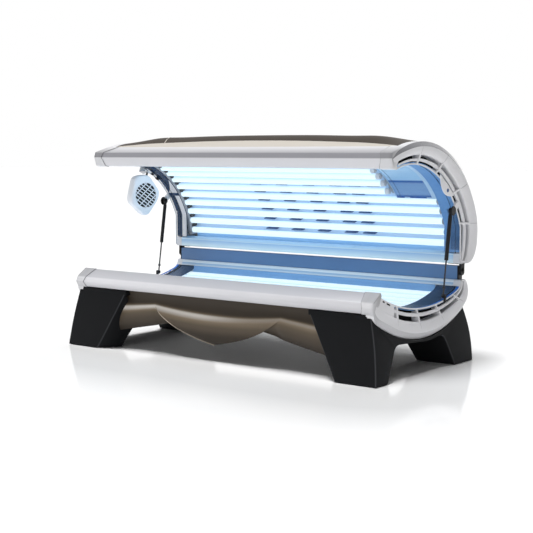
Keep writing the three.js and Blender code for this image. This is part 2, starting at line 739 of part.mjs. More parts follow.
const hoodEdgeAngle = 106.6;
const hoodEdge = arc(hoodY, hoodZ, hoodRadius, hoodEdgeAngle, hoodEdgeAngle, 1)[0];
const rimEdge = onArch(archRadius, archStart);
const hoodRailLine = [hoodEdge, ...hoodRailOffsets.map(([y, z]) => [rimEdge[0] + y, rimEdge[1] + z])];
const canopyFins = [0.2, 0.4, 0.6, 0.79];
const canopyCap = endCap(archRimPath, hoodOuterPath, canopyFins, 12, hoodRailLine, rimHalf);
addPair('canopy_end_cap', canopyCap, capGrey);

add('canopy_front_rail', alongX(strip(hoodRailLine, 0, wall), -midEnd, midEnd), silver);
const hoodRearLine = [[rimFootY + 34, hoodFootZ + 66], [rimFootY + 6, hoodFootZ + 54]];
hoodRearLine.push([rimFootY + 4, hoodFootZ + 6]);
hoodRearLine.push([rimFootY + 10, hoodFootZ], [hoodFootY, hoodFootZ]);
const bendShare = 0.28;
for (let k = 1; k <= 3; k += 1) {
  const p = hoodBend.getPoint(1 - (bendShare * k) / 3);
  hoodRearLine.push([p.x, p.y]);
}
add('canopy_rear_rail', alongX(strip(hoodRearLine, 0, wall), -midEnd, midEnd), silver);

// Hood skins: a point on the crowned outer surface at a station angle.
const hoodPoint = (station, x) => {
  const swell = smooth(hoodEdgeAngle, 88, station) * smooth(6, 40, station);
  const grow = hoodCrown * (1 - (x / midHalf) ** 2) * swell;
  const p = new THREE.Vector2();
  if (station >= hoodEnd) {
    p.set(hoodY + hoodRadius * Math.cos(station * rad), hoodZ + hoodRadius * Math.sin(station * rad));
  } else {
    p.copy(hoodBend.getPoint(1 - station / hoodEnd));
  }
  const way = Math.atan2(p.y - hoodZ, p.x - hoodY);
  return [p.x + grow * Math.cos(way), p.y + grow * Math.sin(way)];
};
const trimStation = (x) => 98.5 + 4.5 * (x / midHalf) ** 2;
const bendStation = hoodEnd * (bendShare + 0.015);
function hoodSkin(from, to, steps, stations) {
  const rings = [];
  for (let k = 0; k <= stations; k += 1) {
    const x = -midEnd + (2 * midEnd * k) / stations;
    const line = [];
    for (let j = 0; j <= steps; j += 1) {
      line.push(hoodPoint(from(x) + ((to(x) - from(x)) * j) / steps, x));
    }
    rings.push(strip(line, 0, -panelWall).map((p) => at(x, p)));
  }
  return loft(rings, crossPlane);
}
const trimSkin = hoodSkin(() => hoodEdgeAngle - 0.06, (x) => trimStation(x) + 0.04, 2, 8);
add('canopy_trim_strip', trimSkin, champagne);
add('canopy_top_shell', hoodSkin((x) => trimStation(x) - 0.04, () => bendStation, 12, 8), brown);

// Canopy interior.
const rimLine = arc(archY, archZ, archRadius, archStart - 0.6, archEnd, 18);
rimLine.push([rimFootY, hoodFootZ + 62]);
const archSheet = 4;
add('canopy_acrylic', alongX(strip(rimLine, 3, 3 + archSheet), -sheetEnd, sheetEnd), clear);

const archLampLine = archRadius + 35;
const lampStep = lampPitch / archLampLine / rad;
const archLampAt = (k) => {
  const a = (firstLampAngle + k * lampStep) * rad;
  return [archY + archLampLine * Math.cos(a), archZ + archLampLine * Math.sin(a)];
};
const archReflector = archLampLine + reflectorSet;
const slots = [];
for (let row = 0; row < 6; row += 1) {
  const a = (firstLampAngle + (row + 0.5) * lampStep) * rad;
  for (let k = 0; k < 5; k += 1) {
    const slot = new THREE.BoxGeometry(85, 20, 9);
    slot.translate((k - 1.7) * 180, archReflector, 0);
    slot.rotateX(a);
    slot.translate(0, archY, archZ);
    slots.push(slot);
  }
}
const reflectorArc = arc(archY, archZ, archReflector, 102, 5.5, 16);
const archMirror = alongX(strip(reflectorArc, 0, 2), -holderX + gap, holderX - gap);
add('canopy_reflector', cut(archMirror, ...slots), mirror);

for (let k = 0; k < longLamps; k += 1) {
  const [y, z] = archLampAt(k);
  const rise = [[lampRadius - 2, 0], [lampRadius - 2, 22], [lampRadius, 25]];
  const fall = rise.map(([radius, height]) => [radius, lampLength - height]).reverse();
  const lamp = aim(turned([...rise, ...fall], 8), new THREE.Vector3(-lampLength / 2, y, z), xAxis);
  add(`canopy_lamp_${k + 1}`, lamp, tube);
}
const holderInner = archRadius + holderSet;
const holderDeep = archReflector + 4 - holderInner;
const faceBack = archReflector - facetRoom - 2 * gap;
const holderArc = (first, last, deep) => {
  const from = firstLampAngle + (last + 0.46) * lampStep;
  const to = firstLampAngle + (first - 0.46) * lampStep;
  return strip(arc(archY, archZ, holderInner, from, to, 2 * (last - first)), 0, deep);
};
const longHolder = alongX(holderArc(0, longLamps - 1, holderDeep), holderX, holderX + holderDepth);
const lampSeats = [];
for (let k = 0; k < longLamps; k += 1) {
  lampSeats.push(pinAlongX(lampRadius - 1, holderX - 10, lampLength / 2 + gap, archLampAt(k), 8));
}
addPair('canopy_lamp_holder', cut(longHolder, ...lampSeats), sheet);

const faceX1 = rimHalf - 105;
const faceX0 = faceX1 - faceLength;
const shortEnd = faceX0 - holderDepth - 8;
const shortArc = (deep) => holderArc(longLamps, longLamps + shortLamps - 1, deep);
const shortBank = [
  alongX(shortArc(holderDeep), -holderX - holderDepth, -holderX),
  alongX(shortArc(faceBack - holderInner), shortEnd - 6, shortEnd - 6 + holderDepth),
];
for (let k = longLamps; k < longLamps + shortLamps; k += 1) {
  shortBank.push(lampAt(-lampLength / 2, archLampAt(k), shortEnd + lampLength / 2, 8));
}
add('canopy_short_lamp_bank', join(...shortBank), tube);

const archCoverLine = rimLine.slice(1);
const archCover = alongX(strip(archCoverLine, coverSet, coverSet + panelWall), holderX - 4, sheetEnd);
addPair('canopy_end_panel', archCover, navy);

// Facial lamp tray behind a blue filter glass.
const faceLow = firstLampAngle + (longLamps - 0.45) * lampStep;
const faceHigh = firstLampAngle + (longLamps + shortLamps - 0.5) * lampStep;
const faceLine = (radius, inset) => arc(archY, archZ, radius, faceHigh - inset, faceLow + inset, 10);
const faceGlass = archRadius + 13;
const faceBody = alongX(strip(faceLine(faceGlass + 5, 0), 0, faceBack - faceGlass - 5), faceX0, faceX1);
const faceHollowLine = strip(faceLine(faceGlass, 0.4), 0, faceBack - faceGlass - panelWall);
const faceHollow = alongX(faceHollowLine, faceX0 + panelWall, faceX1 - panelWall);
add('face_lamp_tray', cut(faceBody, faceHollow), sheet);
add('face_filter_glass', alongX(strip(faceLine(faceGlass, 0), 0, 4.5), faceX0, faceX1), filter);

// Control panel on the right rim with its button.
const panelTurn = 52 * rad;
const controlX = seatX;
function onRim(geometry) {
  geometry.rotateX(panelTurn);
  return geometry.translate(0, archY, archZ);
}
const controlPlate = new THREE.BoxGeometry(7, 70, 130);
controlPlate.translate(controlX + 3.5, archRadius - 6, 0);
const buttonRadius = 9;
const buttonTravel = 3;
const buttonAt = new THREE.Vector3(controlX, archRadius - 14, -20).applyAxisAngle(xAxis, panelTurn);
const buttonPlace = [buttonAt.y + archY, buttonAt.z + archZ];
const buttonBore = pinAlongX(buttonRadius + pinClearance, controlX + 1, controlX + 20, buttonPlace, 18);
add('control_panel', cut(onRim(controlPlate), buttonBore), capGrey);
const button = pinAlongX(
  buttonRadius, controlX + 1.4 + buttonTravel, controlX + 7.5 + buttonTravel, buttonPlace, 18,
);
add('control_button', button, navy);

// Body fan at the left end of the canopy, in its own frame: Z is the blowing direction.
const podX = -rimHalf + bodyFanDepth;
const podOut = new THREE.Matrix4();
const podWay = new THREE.Vector3(Math.cos(bodyFanTurn * rad), -Math.sin(bodyFanTurn * rad), 0);
const podSide = new THREE.Vector3(-podWay.y, podWay.x, 0);
podOut.makeBasis(podSide, new THREE.Vector3(0, 0, 1), podWay);
podOut.setPosition(podX, bodyFanPlace[0], bodyFanPlace[1]);
const podTop = [[-102, -9], [-70, 119], [23, 125], [101, 21]];
const podShape = [...podTop, [89, -29], [21, -118], [-11, -125], [-98, -45]];
const podRing = (scale, depth) =>
  podShape.map(([u, v]) => new THREE.Vector3(u * scale, v * scale, depth));
const podBack = [podRing(0.7, -bodyFanDepth), podRing(0.97, -bodyFanDepth + 26)];
const podBody = loft([...podBack, podRing(1, -12), podRing(0.93, 0)], plan);
const podMouth = turned([[bodyFan / 2 + 1, -60], [bodyFan / 2 + 1, 20]], 20);
const podVent = turned([[bodyFan / 4, -bodyFanDepth - 20], [bodyFan / 4, -40]], 16);
const podAngle = bodyFanAngle * rad;
const podSpan = archRadius - bodyFanInset;
const swivelX = podX - bodyFanDepth / 2;
const swivelPin = 6;
const swivelWay = new THREE.Vector3(0, Math.cos(podAngle), Math.sin(podAngle));
const swivel = (radius, r0, r1) => {
  const start = swivelWay.clone().multiplyScalar(r0).add(new THREE.Vector3(swivelX, archY, archZ));
  return aim(turned([[radius, 0], [radius, r1 - r0]], 14), start, swivelWay);
};
const rotorBack = -42;
const podMotor = [
  box(-bodyFan / 4 - 8, bodyFan / 4 + 8, -9, 9, -bodyFanDepth + 4, -64),
  turned([[20, -bodyFanDepth + 8], [20, rotorBack - gap]], 12),
  turned([[fanShaft, rotorBack - 20], [fanShaft, rotorBack + shaftReach]], 12),
];
const podCut = join(cut(podBody, podMouth, podVent), ...podMotor).applyMatrix4(podOut);
const pinEnd = podSpan + bodyFan / 2 + 12;
add('body_fan_housing', cut(podCut, swivel(swivelPin + pinClearance, pinEnd - 1, archRadius)), podWhite);
const grilleDisc = turned([[bodyFan / 2 + 0.6, -7], [bodyFan / 2 + 0.6, -2]], 20);
const grilleCuts = [];
for (let row = -2; row <= 2; row += 1) {
  const reach = Math.sqrt((bodyFan / 2) ** 2 - (row * 24) ** 2) - 8;
  const columns = row % 2 === 0 ? [-0.66, 0, 0.66] : [-0.5, 0.5];
  for (const c of columns) {
    const size = (2 * reach) / columns.length - 8;
    grilleCuts.push(new THREE.BoxGeometry(size, 13, 30).translate(c * reach, row * 24, 0));
  }
}
add('body_fan_grille', cut(grilleDisc, ...grilleCuts).applyMatrix4(podOut), podWhite);
const bodyRotor = rotorOf(bodyFan / 2 - 5, 24, 26, 6).translate(0, 0, rotorBack);
add('body_fan_rotor', bodyRotor.applyMatrix4(podOut), black);

const neckX = -seatX;
const neckPiece = (x0, x1, r0, r1, half) =>
  box(x0, x1, r0, r1, -half, half).rotateX(podAngle).translate(0, archY, archZ);
add('body_fan_bracket', join(
  neckPiece(neckX - 8, neckX, archRadius - 30, archRadius + finReach, 30),
  neckPiece(neckX - 8, swivelX + 20, archRadius - 30, archRadius - 16, 20),
  swivel(swivelPin, pinEnd, archRadius - 20),
), black);

const bounds = new THREE.Box3().setFromObject(root);
root.children.forEach((mesh) => {
  mesh.geometry.translate(0, -(bounds.min.y + bounds.max.y) / 2, -bounds.min.z);
});

export default root;
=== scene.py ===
import math
import bpy
import numpy as np
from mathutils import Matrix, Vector


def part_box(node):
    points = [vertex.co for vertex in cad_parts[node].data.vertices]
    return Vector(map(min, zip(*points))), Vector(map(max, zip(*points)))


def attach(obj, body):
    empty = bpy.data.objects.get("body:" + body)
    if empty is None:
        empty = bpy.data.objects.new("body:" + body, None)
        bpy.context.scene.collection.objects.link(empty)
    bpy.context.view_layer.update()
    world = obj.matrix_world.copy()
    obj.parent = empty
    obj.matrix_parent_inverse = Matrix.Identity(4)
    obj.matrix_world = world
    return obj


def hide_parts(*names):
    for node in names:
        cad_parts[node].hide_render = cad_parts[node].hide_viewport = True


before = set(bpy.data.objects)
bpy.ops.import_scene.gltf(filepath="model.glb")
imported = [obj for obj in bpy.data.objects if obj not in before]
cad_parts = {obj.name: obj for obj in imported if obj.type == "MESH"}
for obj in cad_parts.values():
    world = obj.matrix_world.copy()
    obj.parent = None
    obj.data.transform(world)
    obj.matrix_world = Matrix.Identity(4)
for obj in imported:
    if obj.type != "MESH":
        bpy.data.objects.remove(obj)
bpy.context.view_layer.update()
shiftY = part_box("right_front_foot_pad")[0].y * 1000 + 538  # from the dish's own Y to the model's, mm
sides = (("right", 1), ("left", -1))
print("stage: frame loaded, shift", round(shiftY, 3))


# Lines are rows of Y and Z in millimetres; Y = 0 is the dish's lowest line until putPiece moves everything.
def arcLine(centre, radius, start, end, count=48):
    # centre + radius (cos a, sin a), a running evenly from start to end in degrees
    a = np.radians(np.linspace(start, end, count))
    return np.stack([centre[0] + radius * np.cos(a), centre[1] + radius * np.sin(a)], 1)


def bezierLine(handles, count=24):
    # the sum of the handles, each weighted by its Bernstein polynomial
    p = np.asarray(handles, float)
    n = len(p) - 1
    t = np.linspace(0, 1, count)
    weight = np.stack([math.comb(n, k) * t**k * (1 - t) ** (n - k) for k in range(n + 1)], 1)
    return weight @ p


def chained(*lines):
    # lines end to end, a repeated joint dropped
    whole = np.concatenate([np.asarray(line, float) for line in lines])
    step = np.linalg.norm(np.diff(whole, axis=0), axis=1)
    return whole[np.concatenate([[True], step > 1e-6])]


def along(line, shares):
    # the points at these shares of the line's own length
    run = np.concatenate([[0], np.cumsum(np.linalg.norm(np.diff(line, axis=0), axis=1))])
    at = np.asarray(shares) * run[-1]
    return np.stack([np.interp(at, run, line[:, k]) for k in range(line.shape[1])], 1)


def shifted(line, distance, closed=False):
    # every point goes to the left of the line by distance, mitred where two sides meet
    line = np.asarray(line, float)
    step = np.roll(line, -1, 0) - line if closed else np.diff(line, axis=0)
    normal = np.stack([-step[:, 1], step[:, 0]], 1) / np.linalg.norm(step, axis=1)[:, None]
    after = normal if closed else np.concatenate([normal, normal[-1:]])
    before = np.roll(normal, 1, 0) if closed else np.concatenate([normal[:1], normal])
    grow = distance / (1 + (before * after).sum(1))
    return line + (before + after) * grow[:, None]


def filleted(line, radius, steps=5, closed=False):
    # each corner becomes the parabola between two points set back along its sides by radius
    line = np.asarray(line, float)
    back, on = np.roll(line, 1, 0) - line, np.roll(line, -1, 0) - line
    reachBack, reachOn = np.linalg.norm(back, axis=1), np.linalg.norm(on, axis=1)
    hold = np.minimum(radius, 0.48 * np.minimum(reachBack, reachOn))[:, None]
    a, b = line + back / reachBack[:, None] * hold, line + on / reachOn[:, None] * hold
    t = np.linspace(0, 1, steps)[None, :, None]
    curve = (1 - t) ** 2 * a[:, None] + 2 * t * (1 - t) * line[:, None] + t**2 * b[:, None]
    if closed:
        return curve.reshape(-1, 2)
    return np.concatenate([line[:1], curve[1:-1].reshape(-1, 2), line[-1:]])


def strip(line, near, far):
    # closed outline between two shifts of one line
    return np.concatenate([shifted(line, near), shifted(line, far)[::-1]])


def ramp(a, b, v):
    # 0 below a, 1 above b, 3 s^2 - 2 s^3 between
    s = np.clip((np.asarray(v, float) - a) / (b - a), 0, 1)
    return s * s * (3 - 2 * s)


def shell(points, closeU=False, closeV=False, lids=False, tone=None):
    # a grid of places joined by quads, turned so that the volume it encloses counts positive
    nu, nv = points.shape[:2]
    index = np.arange(nu * nv).reshape(nu, nv)
    wrap = np.concatenate([index, index[:1]]) if closeU else index
    wrap = np.concatenate([wrap, wrap[:, :1]], 1) if closeV else wrap
    quads = np.stack([wrap[:-1, :-1], wrap[1:, :-1], wrap[1:, 1:], wrap[:-1, 1:]], -1).reshape(-1, 4)
    ends = [index[0], index[-1, ::-1]] if lids else []
    flat = points.reshape(-1, 3)
    c = flat - flat.mean(0)
    p, q, r, s = (c[quads[:, k]] for k in range(4))
    bulk = (p * (np.cross(q, r) + np.cross(r, s))).sum()
    bulk += sum((c[e[0]] * np.cross(c[e[1:-1]], c[e[2:]]).sum(0)).sum() for e in ends)
    if bulk < 0:
        quads, ends = quads[:, ::-1], [e[::-1] for e in ends]
    tone = np.zeros(nu * nv) if tone is None else np.broadcast_to(tone, (nu, nv)).reshape(-1)
    return dict(points=flat, quads=quads, lids=ends, tone=tone)


def wound(outline):
    # the outline, reversed if it runs clockwise
    y, z = np.asarray(outline, float).T
    area = (y * np.roll(z, -1) - np.roll(y, -1) * z).sum()
    return np.asarray(outline, float)[:: 1 if area > 0 else -1]


def bar(outline, x0, x1, soft=1.0, tone=None, steps=4):
    # a closed outline carried along X, drawn in by a quarter round of radius soft at both ends
    line = wound(outline)
    if tone is not None and not np.allclose(line[0], outline[0]):
        tone = np.asarray(tone)[..., ::-1]
    q = np.linspace(0, np.pi / 2, steps)
    rings = [shifted(line, d, True) for d in soft * (1 - np.sin(q))]
    step = soft * (1 - np.cos(q))
    x = np.concatenate([x0 + step, (x1 - step)[::-1]])
    grid = np.stack(rings + rings[::-1])
    points = np.concatenate([np.broadcast_to(x[:, None, None], grid.shape[:2] + (1,)), grid], -1)
    return shell(points, closeV=True, lids=True, tone=tone)


def box(x0, x1, y0, y1, z0, z1, round=2.0, soft=1.5):
    # a block with rounded edges: a filleted rectangle carried along X
    outline = filleted([[y0, z0], [y1, z0], [y1, z1], [y0, z1]], round, 4, True)
    return bar(outline, x0, x1, min(soft, round))


def turned(profile, start, way, count=32):
    # start + h way + r (cos a, sin a) in the plane across way, for each radius r and height h
    way = np.asarray(way, float) / np.linalg.norm(way)
    side = np.cross(way, [0, 0, 1] if abs(way[2]) < 0.9 else [1, 0, 0])
    side /= np.linalg.norm(side)
    a = np.linspace(0, 2 * np.pi, count, endpoint=False)[:, None]
    ring = np.cos(a) * side + np.sin(a) * np.cross(way, side)
    p = np.asarray(profile, float)[:, :, None, None]
    return shell(np.asarray(start, float) + p[:, 1] * way + p[:, 0] * ring, closeV=True, lids=True)


def pin(radius, x0, x1, place, soft=0.8, count=32):
    # a round bar along X with softened rims
    profile = [[radius - soft, 0], [radius, soft], [radius, x1 - x0 - soft], [radius - soft, x1 - x0]]
    return turned(profile, [x0, *place], [1, 0, 0], count)


def swung(piece, degrees, centre):
    # the shell turned about an X line through centre
    c, s = math.cos(math.radians(degrees)), math.sin(math.radians(degrees))
    points = piece["points"] - [0, *centre]
    points = points @ np.array([[1, 0, 0], [0, c, s], [0, -s, c]]) + [0, *centre]
    return dict(piece, points=points)


def mirrored(piece):
    # the same shell at the other end of the bed
    return dict(piece, points=piece["points"] * [-1, 1, 1], quads=piece["quads"][:, ::-1],
                lids=[e[::-1] for e in piece["lids"]])


def putPiece(name, shells, finish, body, nodes=(), sharp=32):
    base = np.cumsum([0] + [len(s["points"]) for s in shells])
    points = np.concatenate([s["points"] for s in shells])
    quads = np.concatenate([s["quads"] + k for s, k in zip(shells, base)])
    lids = [(e + k).tolist() for s, k in zip(shells, base) for e in s["lids"]]
    mesh = bpy.data.meshes.new(name)
    mesh.from_pydata(((points + [0, shiftY, 0]) * 0.001).tolist(), [], quads.tolist() + lids)
    mesh.shade_smooth()
    mesh.set_sharp_from_angle(angle=math.radians(sharp))
    tone = mesh.attributes.new("tone", "FLOAT", "POINT")
    tone.data.foreach_set("value", np.concatenate([s["tone"] for s in shells]).astype(np.float32))
    mesh.materials.append(finish)
    piece = bpy.data.objects.new(name, mesh)
    bpy.context.scene.collection.objects.link(piece)
    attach(piece, body)
    if nodes:
        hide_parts(*nodes)
    return piece


def putPair(name, shells, finish, body, node=None, sharp=32):
    # the right piece and its mirror; body may hold the side's name
    for side, sign in sides:
        half = shells if sign > 0 else [mirrored(s) for s in shells]
        nodes = (f"{side}_{node}",) if node else ()
        putPiece(f"{side}{name}", half, finish, body.format(side=side), nodes, sharp)


# Finishes
def colour(r, g, b):
    # screen values to scene-linear
    c = np.array([r, g, b]) / 255
    return (*np.where(c <= 0.04045, c / 12.92, ((c + 0.055) / 1.055) ** 2.4), 1.0)


def finishOf(name, light, dark, rough, metal=0.0, mottle=5.0, grain=600.0, bump=0.04, toned=None, paintedLight=None,
             **extra):
    # a broad noise drifts the colour between light and dark; a fine noise roughens gloss and normal; the piece's own
    # tone attribute, on many pieces painted shade or painted light, leads over to the toned colour, and below zero to
    # the painted-light colour
    material = bpy.data.materials.new(name)
    material.use_nodes = True
    tree = material.node_tree
    shader = tree.nodes["Principled BSDF"]
    place = tree.nodes.new("ShaderNodeTexCoord")
    broad, fine = tree.nodes.new("ShaderNodeTexNoise"), tree.nodes.new("ShaderNodeTexNoise")
    broad.inputs["Scale"].default_value = mottle
    broad.inputs["Detail"].default_value = 4
    fine.inputs["Scale"].default_value = grain
    fine.inputs["Detail"].default_value = 2
    for noise in (broad, fine):
        tree.links.new(place.outputs["Object"], noise.inputs["Vector"])
    drift = tree.nodes.new("ShaderNodeMix")
    drift.data_type = "RGBA"
    drift.inputs[6].default_value, drift.inputs[7].default_value = colour(*light), colour(*dark)
    tree.links.new(broad.outputs["Fac"], drift.inputs[0])
    shown = drift.outputs[2]
    if toned:
        tone, over = tree.nodes.new("ShaderNodeAttribute"), tree.nodes.new("ShaderNodeMix")
        tone.attribute_name = "tone"
        over.data_type = "RGBA"
        over.inputs[7].default_value = colour(*toned)
        tree.links.new(tone.outputs["Fac"], over.inputs[0])
        tree.links.new(shown, over.inputs[6])
        shown = over.outputs[2]
    if paintedLight:
        flip, gleam = tree.nodes.new("ShaderNodeMath"), tree.nodes.new("ShaderNodeMix")
        flip.operation = "MULTIPLY"
        flip.inputs[1].default_value = -1
        gleam.data_type = "RGBA"
        gleam.inputs[7].default_value = colour(*paintedLight)
        tree.links.new(tone.outputs["Fac"], flip.inputs[0])
        tree.links.new(flip.outputs[0], gleam.inputs[0])
        tree.links.new(shown, gleam.inputs[6])
        shown = gleam.outputs[2]
    tree.links.new(shown, shader.inputs["Base Color"])
    spread = tree.nodes.new("ShaderNodeMapRange")
    spread.inputs["To Min"].default_value = max(rough - 0.06, 0.02)
    spread.inputs["To Max"].default_value = rough + 0.06
    tree.links.new(fine.outputs["Fac"], spread.inputs["Value"])
    tree.links.new(spread.outputs["Result"], shader.inputs["Roughness"])
    relief = tree.nodes.new("ShaderNodeBump")
    relief.inputs["Strength"].default_value = bump
    relief.inputs["Distance"].default_value = 0.0006
    tree.links.new(fine.outputs["Fac"], relief.inputs["Height"])
    tree.links.new(relief.outputs["Normal"], shader.inputs["Normal"])
    shader.inputs["Metallic"].default_value = metal
    for socket, value in extra.items():
        shader.inputs[socket.replace("_", " ")].default_value = value
    return material


capGrey = finishOf("capGrey", (226, 226, 229), (219, 219, 222), 0.42, toned=(124, 124, 128))
railSilver = finishOf("railSilver", (228, 228, 232), (221, 221, 225), 0.36, 0.1, toned=(132, 132, 138))
# rail blues: the last colour of each paints lamp light on the rear rails, and the pale one is the rail blue brightened
# for the bench's rear rail: painted light
railBlue = finishOf("railBlue", (150, 196, 238), (142, 189, 233), 0.3, 0.1, toned=(214, 215, 220), paintedLight=(231, 249, 255))
railBlueBrightCopy = finishOf("railBlueBrightCopy", (232, 243, 252), (222, 235, 248), 0.3, 0.1, toned=(214, 215, 220), paintedLight=(150, 190, 228))
legBlack = finishOf("legBlack", (24, 25, 27), (19, 20, 22), 0.6, grain=420, bump=0.12, toned=(82, 83, 86),
                    Specular_IOR_Level=0.08)
# bronze: the toned colour is painted shade and the last one a painted highlight, both laid on the skirt
bronze = finishOf("bronze", (138, 124, 106), (130, 116, 98), 0.4, grain=1400, bump=0.05, toned=(26, 20, 15),
                  paintedLight=(230, 225, 218), Specular_IOR_Level=0.18)
# a lighter bronze for the painted highlight along the sail's hem
bronzeHighlight = finishOf("bronzeHighlight", (172, 160, 144), (160, 148, 132), 0.3, 0.4, grain=1400)
shellBrown = finishOf("shellBrown", (54, 45, 36), (47, 39, 31), 0.5, grain=1400, Specular_IOR_Level=0.15)
champagne = finishOf("champagne", (207, 201, 193), (199, 192, 182), 0.5, grain=1400, Specular_IOR_Level=0.2)
reflectorBlue = finishOf("reflectorBlue", (204, 219, 238), (192, 211, 233), 0.35, 0.15, mottle=2, toned=(30, 62, 114))
panelNavy = finishOf("panelNavy", (76, 98, 130), (68, 90, 120), 0.45, toned=(104, 152, 208), Specular_IOR_Level=0.1)
# a darker, shaded copy of the navy for the left canopy cover: painted shade
coverNavyShadedCopy = finishOf("coverNavyShadedCopy", (46, 66, 94), (40, 58, 86), 0.7, Specular_IOR_Level=0.0)
insetBlue = finishOf("insetBlue", (72, 110, 156), (64, 100, 146), 0.4, Specular_IOR_Level=0.2)
# blue for the painted lamp light at the bench's rear
paintedLampBlue = finishOf("paintedLampBlue", (136, 184, 236), (124, 174, 230), 0.35)
# a faint blue glow: painted lamp light on a strip of reflector
paintedGlowBlue = finishOf("paintedGlowBlue", (190, 232, 255), (180, 226, 252), 0.35, Emission_Color=(0, 0.2, 1, 1), Emission_Strength=0.13)
edgeBlue = finishOf("edgeBlue", (52, 122, 214), (44, 112, 204), 0.25)
beamBlue = finishOf("beamBlue", (92, 130, 176), (80, 114, 158), 0.4, 0.1, mottle=1.5)
faceBlue = finishOf("faceBlue", (165, 207, 242), (155, 199, 236), 0.18, toned=(20, 80, 164))
frameBlue = finishOf("frameBlue", (176, 208, 238), (164, 198, 230), 0.3)
sheetSteel = finishOf("sheetSteel", (176, 179, 184), (160, 163, 168), 0.42, 0.6, mottle=9)
holderGrey = finishOf("holderGrey", (170, 176, 186), (150, 156, 166), 0.45, 0.1, toned=(22, 23, 26))
socketWhite = finishOf("socketWhite", (226, 232, 238), (214, 220, 228), 0.4)
rodSteel = finishOf("rodSteel", (44, 45, 48), (32, 33, 36), 0.28, 0.4, grain=1500)
blackMetal = finishOf("blackMetal", (22, 22, 24), (16, 16, 18), 0.38, grain=800, bump=0.08, Specular_IOR_Level=0.2)
# near-black for the painted shade deep in the grilles
grilleShadeBlack = finishOf("grilleShadeBlack", (16, 16, 18), (11, 11, 12), 0.8, grain=900, bump=0.3, Specular_IOR_Level=0.1)
fanBlack = finishOf("fanBlack", (38, 38, 40), (28, 28, 30), 0.5, grain=500, bump=0.1)
podWhite = finishOf("podWhite", (241, 245, 250), (234, 239, 246), 0.4, toned=(26, 28, 33))
buttonBlue = finishOf("buttonBlue", (62, 92, 140), (50, 78, 124), 0.25)
tubGrey = finishOf("tubGrey", (58, 58, 61), (46, 46, 49), 0.5, 0.2, mottle=9)
rubber = finishOf("rubber", (30, 30, 31), (24, 24, 25), 0.8, grain=300, bump=0.3)


def lampFinish(name, core, edge, strength):
    # milky tube: the side turned to the lying space glows in the core colour, its flanks in the edge colour
    material = finishOf(name, (132, 144, 152), (122, 136, 146), 0.3, mottle=1.5)
    tree = material.node_tree
    shader = tree.nodes["Principled BSDF"]
    tone, over = tree.nodes.new("ShaderNodeAttribute"), tree.nodes.new("ShaderNodeMix")
    tone.attribute_name = "tone"
    over.data_type = "RGBA"
    over.inputs[6].default_value, over.inputs[7].default_value = colour(*core), colour(*edge)
    tree.links.new(tone.outputs["Fac"], over.inputs[0])
    tree.links.new(over.outputs[2], shader.inputs["Emission Color"])
    shader.inputs["Emission Strength"].default_value = strength
    return material


def sheetFinish(name, tint, least, most, rough):
    # clear sheet: mirror gloss by least + (most - least) facing^5, straight sight through the rest
    material = finishOf(name, tint, tint, rough, 1.0, grain=40, bump=0.0)
    tree = material.node_tree
    weight, power = tree.nodes.new("ShaderNodeLayerWeight"), tree.nodes.new("ShaderNodeMath")
    power.operation = "POWER"
    power.inputs[1].default_value = 5
    share = tree.nodes.new("ShaderNodeMapRange")
    share.inputs["To Min"].default_value, share.inputs["To Max"].default_value = least, most
    tree.links.new(weight.outputs["Facing"], power.inputs[0])
    tree.links.new(power.outputs[0], share.inputs["Value"])
    tree.links.new(share.outputs["Result"], tree.nodes["Principled BSDF"].inputs["Alpha"])
    return material


lampGlow = lampFinish("lampGlow", (228, 248, 255), (186, 221, 249), 0.94)
clearSheet = sheetFinish("clearSheet", (226, 240, 252), 0.015, 0.08, 0.03)
print("stage: finishes made")

# Shared lines of the bench and the canopy
dish = dict(radius=1091, lowZ=341, frontY=-455, rearY=374, rearRise=43)
dishZ = dish["lowZ"] + dish["radius"]


def dishHeight(y):
    return dishZ - np.sqrt(dish["radius"] ** 2 - np.asarray(y, float) ** 2)


def dishArc(radius, y0, y1, count=60):
    a, b = (math.degrees(math.asin(y / radius)) - 90 for y in (y0, y1))
    return arcLine((0, dishZ), radius, a, b, count)


rearRailZ = float(dishHeight(dish["rearY"])) + dish["rearRise"]
frontEdge = np.array([dish["frontY"], float(dishHeight(dish["frontY"]))])
railTop, railNose, railFront, railFoot = frontEdge + [[15, 16], [-53, -30], [-64, -58], [-47, -88]]
hull = dict(radius=856, lowZ=182, y=-36)
hullZ = hull["lowZ"] + hull["radius"]


def hullArc(y0, y1, count=60):
    a, b = (math.degrees(math.asin((y - hull["y"]) / hull["radius"])) - 90 for y in (y0, y1))
    return arcLine((hull["y"], hullZ), hull["radius"], a, b, count)


rearTurn = dish["rearY"] - 39
benchRim = chained(
    dishArc(dish["radius"], dish["frontY"], rearTurn, 90),
    bezierLine([(rearTurn, float(dishHeight(rearTurn))), (380, rearRailZ - 42), (392, rearRailZ)]),
)
hullLine = hullArc(-470, 380, 90)
benchOuter = chained(
    bezierLine([railFoot + [-4, -2], (railFoot[0] + 2, hullLine[0, 1] + 18), hullLine[0]]),
    hullLine,
    bezierLine([hullLine[-1], (424, rearRailZ - 134), (466, rearRailZ - 80), (458, rearRailZ - 48)]),
    bezierLine([(458, rearRailZ - 48), (450, rearRailZ - 10), (426, rearRailZ)]),
)
hinge = np.array([412, rearRailZ + 45])
hoodFootZ = hinge[1] + 45
archAt = np.array([-143, hoodFootZ - 4])
hoodAt = archAt + [93, 36]
archR, hoodR = 550, 633
archRim = chained(arcLine(archAt, archR, 107.5, 22, 120), [(368, hoodFootZ + 12)])
hoodRear = hoodAt + hoodR * np.array([math.cos(math.radians(25)), math.sin(math.radians(25))])
hoodBend = bezierLine([hoodRear, hoodRear + [52, -100], (568, hoodFootZ + 8), (448, hoodFootZ)], 200)
hoodOuter = chained(arcLine(hoodAt, hoodR, 118.3, 25, 120), hoodBend, [(420, hoodFootZ)])


def onArch(radius, degrees):
    return archAt + radius * np.array([math.cos(math.radians(degrees)), math.sin(math.radians(degrees))])


